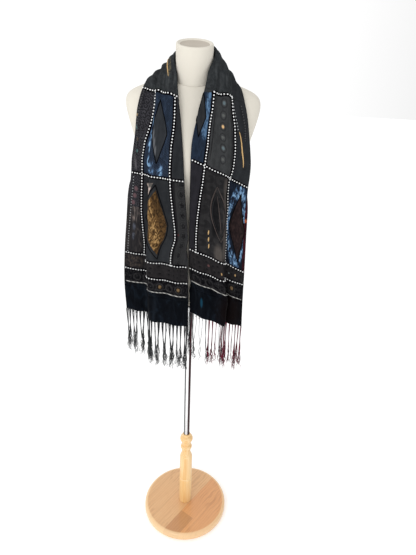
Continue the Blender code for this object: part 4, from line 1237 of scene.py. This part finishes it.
bead_glass = bead_finish("silvery_beads", 160.0, (0.74, 0.75, 0.77), (0.95, 0.95, 0.93),
                         Roughness=0.25, Coat_Weight=0.5, Specular_IOR_Level=0.7)
dark_bead = bead_finish("black_beads", 220.0, (0.006, 0.006, 0.008), (0.05, 0.05, 0.055),
                        Roughness=0.35, Specular_IOR_Level=0.4)
grey_bead = bead_finish("grey_beads", 220.0, (0.16, 0.17, 0.18), (0.42, 0.43, 0.44),
                        Roughness=0.35, Specular_IOR_Level=0.5)

bpy.ops.mesh.primitive_uv_sphere_add(segments=8, ring_count=5, radius=1.0)
bead = bpy.context.object
bpy.ops.object.mode_set(mode="EDIT")
bpy.ops.mesh.select_all(action="SELECT")
bpy.ops.transform.rotate(value=math.pi / 2, orient_axis="Y", center_override=(0, 0, 0))
bpy.ops.transform.resize(value=(0.0021, 0.0019, 0.0016), center_override=(0, 0, 0))
bpy.ops.object.mode_set(mode="OBJECT")
bead_points = np.array([vertex.co[:] for vertex in bead.data.vertices])
bead_faces = [tuple(polygon.vertices) for polygon in bead.data.polygons]
bpy.data.objects.remove(bead)
BEAD_PITCH = 0.0079


def bead_row(side, path, pitch, size, lift):
    """A bead at each pitch along a path on the cloth, lying along it."""
    rows = []
    spots = [on_cloth(side, *place) for place in flat_path(path, pitch)]
    runs = np.gradient(np.array([spot for spot, _ in spots]), axis=0)
    for (spot, normal), run in zip(spots, runs):
        run = run - normal * run.dot(normal)
        run /= np.linalg.norm(run)
        axes = np.stack([run, np.cross(normal, run), normal])
        rows.append((spot + normal * lift + bead_points * size @ axes, bead_faces))
    return rows


def edge_path(side, start, end, inset):
    """A path that keeps one distance inside the outer edge of the cloth in sight."""
    return flat_path([(s, visible_edges(side, s)[1] - inset) for s in np.arange(start, end, 0.02)])


for name, paths in sewn_paths.items():
    parts = [bead for side, path in paths for bead in bead_row(side, path, BEAD_PITCH, 1.0, 0.0026)]
    sewn_on[name].append(sewn_piece(f"{name}_beads", parts, bead_glass))
EDGINGS = [
    # panel, side, finish, size, pitch, where it starts and ends from the hem, inset from the edge in sight
    ("left_panel", "left", grey_bead, 0.75, BEAD_PITCH, 0.20, 0.43, 0.006),
    ("left_panel", "left", dark_bead, 1.1, 0.0062, 0.445, 0.65, 0.007),
    ("right_panel", "right", grey_bead, 0.9, BEAD_PITCH, 0.58, 0.65, 0.037),
    ("right_panel", "right", dark_bead, 1.1, 0.0062, 0.56, 0.66, 0.014),
]
for n, (panel, side, finish, size, pitch, start, end, inset) in enumerate(EDGINGS):
    parts = bead_row(side, edge_path(side, start, end, inset), pitch, size, 0.0016)
    sewn_on[panel].append(sewn_piece(f"{panel}_edging_{n}", parts, finish))

# The pale braid above the hems
# A narrow round braid of pale grey cord is couched on, just above each plain velvet end band.
# It is a strip with a round section, and its twist is a bump.
braid_cord, tree, shader = new_finish("pale_braid", Roughness=0.7, Sheen_Weight=0.1)
twist = add_node(tree, "ShaderNodeTexWave", {
    "Vector": own_place(tree), "Scale": 60.0}, bands_direction="DIAGONAL")
coloured(tree, shader, blended(tree, twist.outputs["Fac"], (0.10, 0.10, 0.098), (0.48, 0.47, 0.44)))
raise_surface(tree, shader, twist.outputs["Fac"], 0.6, 0.0008)
BRAID = [(0.0015 * math.cos(a), 0.0012 + 0.0012 * math.sin(a)) for a in np.radians(np.arange(0, 360, 45))]
for side in ("left", "right"):
    parts = [sewn_strip(side, row_path(side, 0), BRAID)]
    sewn_on[f"{side}_panel"].append(sewn_piece(f"{side}_braid", parts, braid_cord))

# The diamonds
# Long diamonds of weave, bronze crushed velvet and wine velvet are sewn over four blocks, the weave and the
# wine ones edged with black cord. Each is a sheet with a small wall between four corners on the hung cloth.
lights = row_up("left", 0.26, 0.033, 4, 0.11, 0.035, 0.016, lean=0.010)
bronze_velvet, tree, shader, place, pile, colour = velvet("bronze_crushed_velvet", 0.008, 0.16, [
    (0.0, (0.014, 0.008, 0.004)), (0.35, (0.050, 0.029, 0.013)), (0.65, (0.125, 0.066, 0.024)),
    (1.0, (0.38, 0.235, 0.095))], lights, rest=0.55)
coloured(tree, shader, colour)
dark_diamond = plain_weave("diamond_weave", (0.012, 0.013, 0.015), (0.029, 0.031, 0.034))
upper_weave, tree, shader, place, threads, colour = woven(
    "upper_diamond_weave", (0.015, 0.017, 0.020), (0.034, 0.037, 0.042))
sheen = marks_of(tree, place, row_up("left", 0.50, 0.02, 3, 0.128, 0.016, 0.003, lean=0.005))
coloured(tree, shader, tinted(tree, colour, sheen, 0.7, (0.13, 0.135, 0.145)))
raise_surface(tree, shader, threads["Height"], 0.35, 0.0004)
wine_diamond, tree, shader, place, pile, colour = velvet("wine_diamond", 0.012, 0.3, [
    (0.0, (0.010, 0.007, 0.0075)), (0.5, (0.018, 0.0115, 0.012)), (1.0, (0.036, 0.022, 0.021))])
coloured(tree, shader, colour)
rose_scrap, tree, shader, place, pile, colour = velvet("rose_scrap", 0.010, 0.25, [
    (0.0, (0.20, 0.145, 0.125)), (0.5, (0.42, 0.33, 0.29)), (1.0, (0.60, 0.50, 0.45))])
blotch = marks_of(tree, place, [("left", 0.39, 0.155, 0.012, 0.009)])
colour = tinted(tree, colour, blotch, 0.75, (0.34, 0.10, 0.09))
shadowed = marks_of(tree, place, [("left", 0.415, 0.15, 0.009, 0.05)])
coloured(tree, shader, blended(tree, shadowed, colour, (0.085, 0.078, 0.072)))
CORD = [(0.0011 * math.cos(a), 0.0014 + 0.0011 * math.sin(a)) for a in np.radians(np.arange(0, 360, 60))]


def diamond_corners(from_hem, across, half_length, lean, reach_in, reach_out):
    """The top, outer, bottom and inner corners (from_hem, across) of a long diamond about its middle."""
    return [(from_hem + half_length, across + lean), (from_hem, across + reach_out),
            (from_hem - half_length, across - lean), (from_hem, across - reach_in)]


BORDER_MIDDLE, BORDER_SIZES, BRONZE_SHARE = (0.312, 0.104), (0.105, 0.013, 0.026, 0.080), 0.87
border = diamond_corners(*BORDER_MIDDLE, *BORDER_SIZES)
bronze = diamond_corners(*BORDER_MIDDLE, *[size * BRONZE_SHARE for size in BORDER_SIZES])
top, outer = np.array(border[:2])
SCRAP_CLEAR = (0.003, 0.003)
scrap = [
    top + (0.004, 0.006), (top[0] - 0.006, outer[1] - 0.002),
    top + 0.65 * (outer - top) + SCRAP_CLEAR, top + 0.12 * (outer - top) + SCRAP_CLEAR,
]
DIAMONDS = [
    # name, side, material, corners
    ("left_upper_diamond", "left", upper_weave, diamond_corners(0.550, 0.124, 0.080, 0.003, 0.024, 0.024)),
    ("left_lower_scrap", "left", rose_scrap, scrap),
    ("left_lower_border", "left", dark_diamond, border),
    ("left_lower_diamond", "left", bronze_velvet, bronze),
    ("right_outer_diamond", "right", wine_diamond,
     diamond_corners(0.310, 0.213, 0.102, -0.003, 0.029, 0.020)),
    ("right_inner_diamond", "right", dark_diamond, diamond_corners(0.580, 0.068, 0.060, 0.004, 0.012, 0.015)),
]
for name, side, material, (top, outer, bottom, inner) in DIAMONDS:
    n = 18
    points, faces, places = [], [], []
    raised = 0.0016 if material in (bronze_velvet, rose_scrap) else 0.0008
    for i in range(n + 1):
        for j in range(n + 1):
            a, b = i / n, j / n
            flat = (np.array(top) * (1 - a) * (1 - b) + np.array(outer) * a * (1 - b)
                    + np.array(bottom) * a * b + np.array(inner) * (1 - a) * b)
            spot, normal = on_cloth(side, *flat)
            points.append(spot + normal * (raised + 0.0004 * math.sin(math.pi * a) * math.sin(math.pi * b)))
            places.append((flat[1], flat[0], flat[1] + (0 if side == "left" else 1)))
    for i in range(n):
        for j in range(n):
            a = i * (n + 1) + j
            faces.append((a, a + 1, a + n + 2, a + n + 1))
    diamond = grid_piece(name, points, faces, [material])
    attribute = diamond.data.attributes.new("cut_place", "FLOAT_VECTOR", "POINT")
    attribute.data.foreach_set("vector", np.array(places).ravel())
    wall = diamond.modifiers.new("Wall", "SOLIDIFY")
    wall.thickness, wall.offset = 0.0007, 0
    bpy.context.view_layer.objects.active = diamond
    bpy.ops.object.modifier_apply(modifier=wall.name)
    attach(diamond, "root")
    sewn_on[f"{side}_panel"].append(diamond)
    if material is not bronze_velvet and material is not rose_scrap:
        edge = flat_path([top, outer, bottom, inner, top], 0.003)
        cord = sewn_piece(f"{name}_cord", [sewn_strip(side, edge, CORD)], ribbon_velvet)
        sewn_on[f"{side}_panel"].append(cord)

# The couched threads
# Gold, rose and black threads are couched on: two gold lines, a row of gold seeds, one plain pointed leaf
# drawn by a formula, and piping beside two seams. Each is a slim round strip that tapers to both ends.
threads_of = {}
for name, dark, light in (("gold_thread", (0.30, 0.17, 0.06), (0.85, 0.58, 0.27)),
                          ("rose_thread", (0.030, 0.023, 0.021), (0.080, 0.062, 0.057)),
                          ("black_thread", (0.002, 0.002, 0.003), (0.010, 0.010, 0.012))):
    material, tree, shader = new_finish(name, Roughness=0.5, Specular_IOR_Level=0.2)
    strands = clouds(tree, own_place(tree), 500.0, 2.0)
    coloured(tree, shader, blended(tree, strands, dark, light))
    raise_surface(tree, shader, strands, 0.4, 0.0004)
    threads_of[name] = material


def couched_line(from_hem, across, length, lean, bow=0.0):
    """A line about its middle that leans across by this much and bows to one side."""
    share = np.linspace(0, 1, 30)
    return np.stack([from_hem + length * (share - 0.5),
                     across + lean * (share - 0.5) + bow * np.sin(math.pi * share)], 1)


def piping(side, line, start, end, beside):
    """A line that keeps one distance beside a long seam."""
    return column_path(side, line, start, end) + np.array([0, beside])


LEAF_PLACE, LEAF_LENGTH, LEAF_BOW, LEAF_LEAN = (0.335, 0.126), 0.150, 0.024, -0.012
COUCHED = [
    # piece it is on, side, thread, width, path (from_hem, across)
    ("right_panel", "right", "gold_thread", 2.2, couched_line(0.53, 0.187, 0.09, -0.020, 0.003)),
    ("neck_stretch", "left", "gold_thread", 1.7, couched_line(0.75, 0.115, 0.10, 0.012)),
    ("right_panel", "right", "black_thread", 0.9, piping("right", 1, 0.47, 0.65, -0.008)),
    ("right_panel", "right", "black_thread", 0.9, piping("right", 0, 0.47, 0.60, 0.011)),
    ("right_panel", "right", "rose_thread", 1.2, couched_line(*LEAF_PLACE, 0.10, LEAF_LEAN, 0.002)),
]
SEEDS, SEED_START, SEED_PITCH, SEED_LENGTH = 3, 0.235, 0.02, 0.014
for k in range(SEEDS):
    seed = couched_line(SEED_START + SEED_PITCH * k, 0.094, SEED_LENGTH, 0.002)
    COUCHED.append(("right_panel", "right", "gold_thread", 1.7, seed))
for bow in (LEAF_BOW, -LEAF_BOW):
    for thread, width, size in (("rose_thread", 1.7, 1.0), ("black_thread", 1.5, 0.8)):
        side_line = couched_line(*LEAF_PLACE, size * LEAF_LENGTH, size * LEAF_LEAN, size * bow)
        COUCHED.append(("right_panel", "right", thread, width, side_line))
for n, (panel, side, thread, width, line) in enumerate(COUCHED):
    path = flat_path(line, 0.002)
    share = np.linspace(0, math.pi, len(path))
    widths = width * (0.25 + 0.75 * np.sin(share) ** 0.7)
    piece = sewn_piece(f"{thread}_{n}", [sewn_strip(side, path, CORD, widths)], threads_of[thread])
    sewn_on[panel].append(piece)

# The fringes
# Rayon yarn is knotted through each hem in 22 locks. They hang straight, tangle lower down and curl at
# their tips. The yarn is black and grey on one end, and black, grey and wine red on the other.
yarns = {}
for name, dark, light in (("black_yarn", (0.004, 0.004, 0.005), (0.030, 0.031, 0.033)),
                          ("grey_yarn", (0.020, 0.021, 0.023), (0.10, 0.105, 0.11)),
                          ("wine_yarn", (0.045, 0.004, 0.011), (0.22, 0.018, 0.048))):
    material, tree, shader = new_finish(name, Roughness=0.5, Specular_IOR_Level=0.12)
    place = own_place(tree)
    plies = add_node(tree, "ShaderNodeTexWave", {
        "Vector": place, "Scale": 260.0, "Distortion": 2.0}, bands_direction="DIAGONAL").outputs["Fac"]
    shade = times(tree, clouds(tree, stretched(tree, place, (300, 300, 30)), 1.0, 2.0), 1.2)
    coloured(tree, shader, blended(tree, shade, dark, light))
    raise_surface(tree, shader, plies, 0.5, 0.0004)
    yarns[name] = material


def yarn_tube(line, thickness, sides=4):
    """A closed tube along a line, tapering to its tip."""
    runs = np.gradient(line, axis=0)
    runs /= np.linalg.norm(runs, axis=1, keepdims=True)
    first = np.cross(runs, (0.31, 0.95, 0.05))
    first /= np.linalg.norm(first, axis=1, keepdims=True)
    second = np.cross(runs, first)
    radii = np.full(len(line), thickness / 2)
    radii[-3:] *= (0.8, 0.6, 0.35)
    angles = 2 * math.pi * np.arange(sides) / sides
    ring = np.cos(angles)[None, :, None] * first[:, None] + np.sin(angles)[None, :, None] * second[:, None]
    points = (line[:, None] + radii[:, None, None] * ring).reshape(-1, 3)
    faces = [tuple(range(sides)), tuple(range(len(points) - 1, len(points) - sides - 1, -1))]
    for k in range(len(line) - 1):
        for i in range(sides):
            a, b = k * sides + i, k * sides + (i + 1) % sides
            faces.append((a, b, b + sides, a + sides))
    return points, faces


def lock_yarns(root, along, out, length, count, spread, apart, drift, seed):
    """The yarns of one lock: close together below the knot, apart and curling lower down."""
    rng = np.random.default_rng(seed)
    share = np.linspace(0, 1, 42)
    lines = []
    for _ in range(count):
        turn, loose = rng.uniform(0, 2 * math.pi), rng.uniform(0.4, 1.0) * spread
        own_length = length * rng.uniform(0.80, 1.02)
        wide = 0.0006 + loose * np.clip((share - rng.uniform(0.30, 0.50)) / 0.45, 0, 1) ** 1.1
        twist = turn + share * rng.uniform(3.0, 9.0)
        curl = np.clip((share - 0.50) / 0.50, 0, 1) ** 1.3 * rng.uniform(0.001, 0.0070)
        phase, speed = rng.uniform(0, 6.28), rng.uniform(16, 38)
        sway = drift * np.clip((share - 0.1) / 0.6, 0, 1) ** 1.5
        fan = rng.uniform(-apart, apart) * np.clip(1 - share / 0.42, 0, 1) ** 1.2
        sideways = fan + sway + wide * np.cos(twist) + curl * np.sin(speed * share + phase)
        outward_way = wide * np.sin(twist) + curl * np.cos(speed * share + 1.3 * phase)
        line = root + np.outer(sideways, along) + np.outer(outward_way, out)
        line[:, 2] -= own_length * share + 0.4 * curl * np.sin(speed * share * 1.1)
        lines.append(line)
    return lines


FRINGE_LENGTH = 0.150
RIGHT_LOCKS = {
    # lock: yarn, count of yarns, spread
    0: ("black_yarn", 12, 0.004), 1: ("black_yarn", 8, 0.003), 2: ("grey_yarn", 1, 0.002),
    3: ("grey_yarn", 1, 0.002), 4: ("grey_yarn", 1, 0.002), 5: ("black_yarn", 3, 0.002),
    6: ("wine_yarn", 14, 0.0034), 7: ("wine_yarn", 8, 0.003), 8: ("wine_yarn", 4, 0.0025),
    9: ("grey_yarn", 1, 0.003), 10: ("grey_yarn", 1, 0.003), 11: ("wine_yarn", 4, 0.003),
    12: ("wine_yarn", 12, 0.0040), 13: ("wine_yarn", 2, 0.003), 14: ("wine_yarn", 3, 0.003),
    15: ("wine_yarn", 6, 0.003), 16: ("wine_yarn", 16, 0.0040), 17: ("wine_yarn", 6, 0.003),
    18: ("wine_yarn", 2, 0.003), 19: ("wine_yarn", 16, 0.0042), 20: ("wine_yarn", 9, 0.0040),
}
OTHER_YARN = {"black_yarn": "grey_yarn", "grey_yarn": "black_yarn", "wine_yarn": "black_yarn"}
for side, band, node, slot, row, way in (
    ("left", "left_velvet_band", "left_fringe", "black_fringe", 0, 1),
    ("right", "right_velvet_band", "right_fringe", "wine_fringe", ROWS - 1, -1),
):
    hem_columns = [0] + list(range(open_first, open_last + 1, COLUMN_FACTOR)) + [COLUMNS - 1]
    hem = cloth[row, hem_columns]
    hem_out = normals[row, hem_columns]
    made = {name: [] for name in yarns}
    for i in range(len(hem) - 1):
        root = (hem[i] + hem[i + 1]) / 2
        along = (hem[i + 1] - hem[i]) / np.linalg.norm(hem[i + 1] - hem[i])
        out = hem_out[i] + hem_out[i + 1]
        out /= np.linalg.norm(out)
        length = FRINGE_LENGTH * (1 + 0.07 * math.sin(3.1 * i) + 0.03 * math.sin(7.7 * i)) + 0.006
        if side == "left":
            kind, count, spread = ("black_yarn", 14, 0.0060) if i % 3 else ("grey_yarn", 10, 0.0055)
        else:
            kind, count, spread = RIGHT_LOCKS.get(i, ("wine_yarn", 10, 0.0042))
        drift = 0.0038 * (1 if i % 2 == 0 else -1) * way + 0.0022 * math.sin(2.39 * i + 0.4)
        apart = 0.0042
        if kind == "wine_yarn":
            drift, apart = 0.3 * drift, 0.0018
        lines = lock_yarns(root, along, out, length, count, spread, apart, drift, 31 * i + way + 1)
        for n, line in enumerate(lines):
            own = kind if n % 5 else OTHER_YARN[kind]
            made[own].append(yarn_tube(line, 0.0014 if own == "wine_yarn" else 0.0012))
        knot_line = root - np.array([0, 0, 0.004]) + np.outer(np.linspace(-0.0035, 0.0035, 6), (0, 0, 1))
        made[kind].append(yarn_tube(knot_line, 0.0024, 6))
    for name, parts in made.items():
        if parts:
            lock_piece = sewn_piece(f"{side}_fringe_{name}", parts, yarns[name])
            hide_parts(node)
            sewn_on[band].append(lock_piece)

bpy.ops.object.select_all(action="DESELECT")

# The studio
# A plain pale floor, a bright surround that is dimmer on the right, and a large soft lamp on the left.
# The camera stands where the photograph was taken from.
floor_paint, tree, shader = new_finish(
    "studio_floor", Base_Color=(0.98, 0.98, 0.98, 1), Roughness=1.0, Specular_IOR_Level=0.0,
    Emission_Color=(1, 1, 1, 1), Emission_Strength=0.14)
bpy.ops.mesh.primitive_circle_add(vertices=96, radius=40, fill_type="NGON", location=(0, 0, -0.0005))
floor = bpy.context.object
floor.name = "studio_floor"
floor.data.materials.append(floor_paint)

world = bpy.data.worlds.new("studio_surround")
bpy.context.scene.world = world
world.use_nodes = True
tree = world.node_tree
direction = add_node(tree, "ShaderNodeTexCoord").outputs["Generated"]
x = add_node(tree, "ShaderNodeSeparateXYZ", {0: direction}).outputs[0]
dim = add_node(tree, "ShaderNodeMapRange", {
    "Value": x, "From Min": 0.25, "From Max": 1.0, "To Min": 1.05, "To Max": 0.50})
glow = add_node(tree, "ShaderNodeMapRange", {
    "Value": x, "From Min": -1.0, "From Max": -0.45, "To Min": 1.05, "To Max": 1.0})
strength = times(tree, dim.outputs[0], glow.outputs[0])
tree.nodes["Background"].inputs["Color"].default_value = (1.0, 1.0, 1.0, 1)
tree.links.new(strength, tree.nodes["Background"].inputs["Strength"])
bpy.context.scene.view_settings.view_transform = "Standard"
LAMP_PLACE, LAMP_AIM = Vector((-1.2, -2.9, 1.7)), Vector((0, 0, 1.2))
bpy.ops.object.light_add(type="AREA", location=LAMP_PLACE)
lamp = bpy.context.object
lamp.name = "key_lamp"
lamp.data.shape = "DISK"
lamp.data.size = 1.6
lamp.data.energy = 22
lamp.rotation_euler = (LAMP_AIM - LAMP_PLACE).to_track_quat("-Z", "Y").to_euler()

CAMERA_PLACE, PHOTO_HEIGHT, FOCAL_PIXELS = (0, -1.268, 1.572), 555, 430
pitch, yaw, roll = (math.radians(angle) for angle in (23.42, 2.62, 2.27))
forward = Vector((math.sin(yaw) * math.cos(pitch), math.cos(yaw) * math.cos(pitch), -math.sin(pitch)))
level = Vector((math.cos(yaw), -math.sin(yaw), 0))
up = level.cross(forward)
rolled_level = math.cos(roll) * level + math.sin(roll) * up
rolled_up = math.cos(roll) * up - math.sin(roll) * level
lens = bpy.data.cameras.new("studio_camera")
camera = bpy.data.objects.new("studio_camera", lens)
bpy.context.scene.collection.objects.link(camera)
turned = Matrix((rolled_level, rolled_up, -forward)).transposed()
camera.matrix_world = Matrix.Translation(CAMERA_PLACE) @ turned.to_4x4()
lens.sensor_fit = "VERTICAL"
lens.sensor_height = 36
lens.lens = FOCAL_PIXELS / PHOTO_HEIGHT * lens.sensor_height
bpy.context.scene.camera = camera
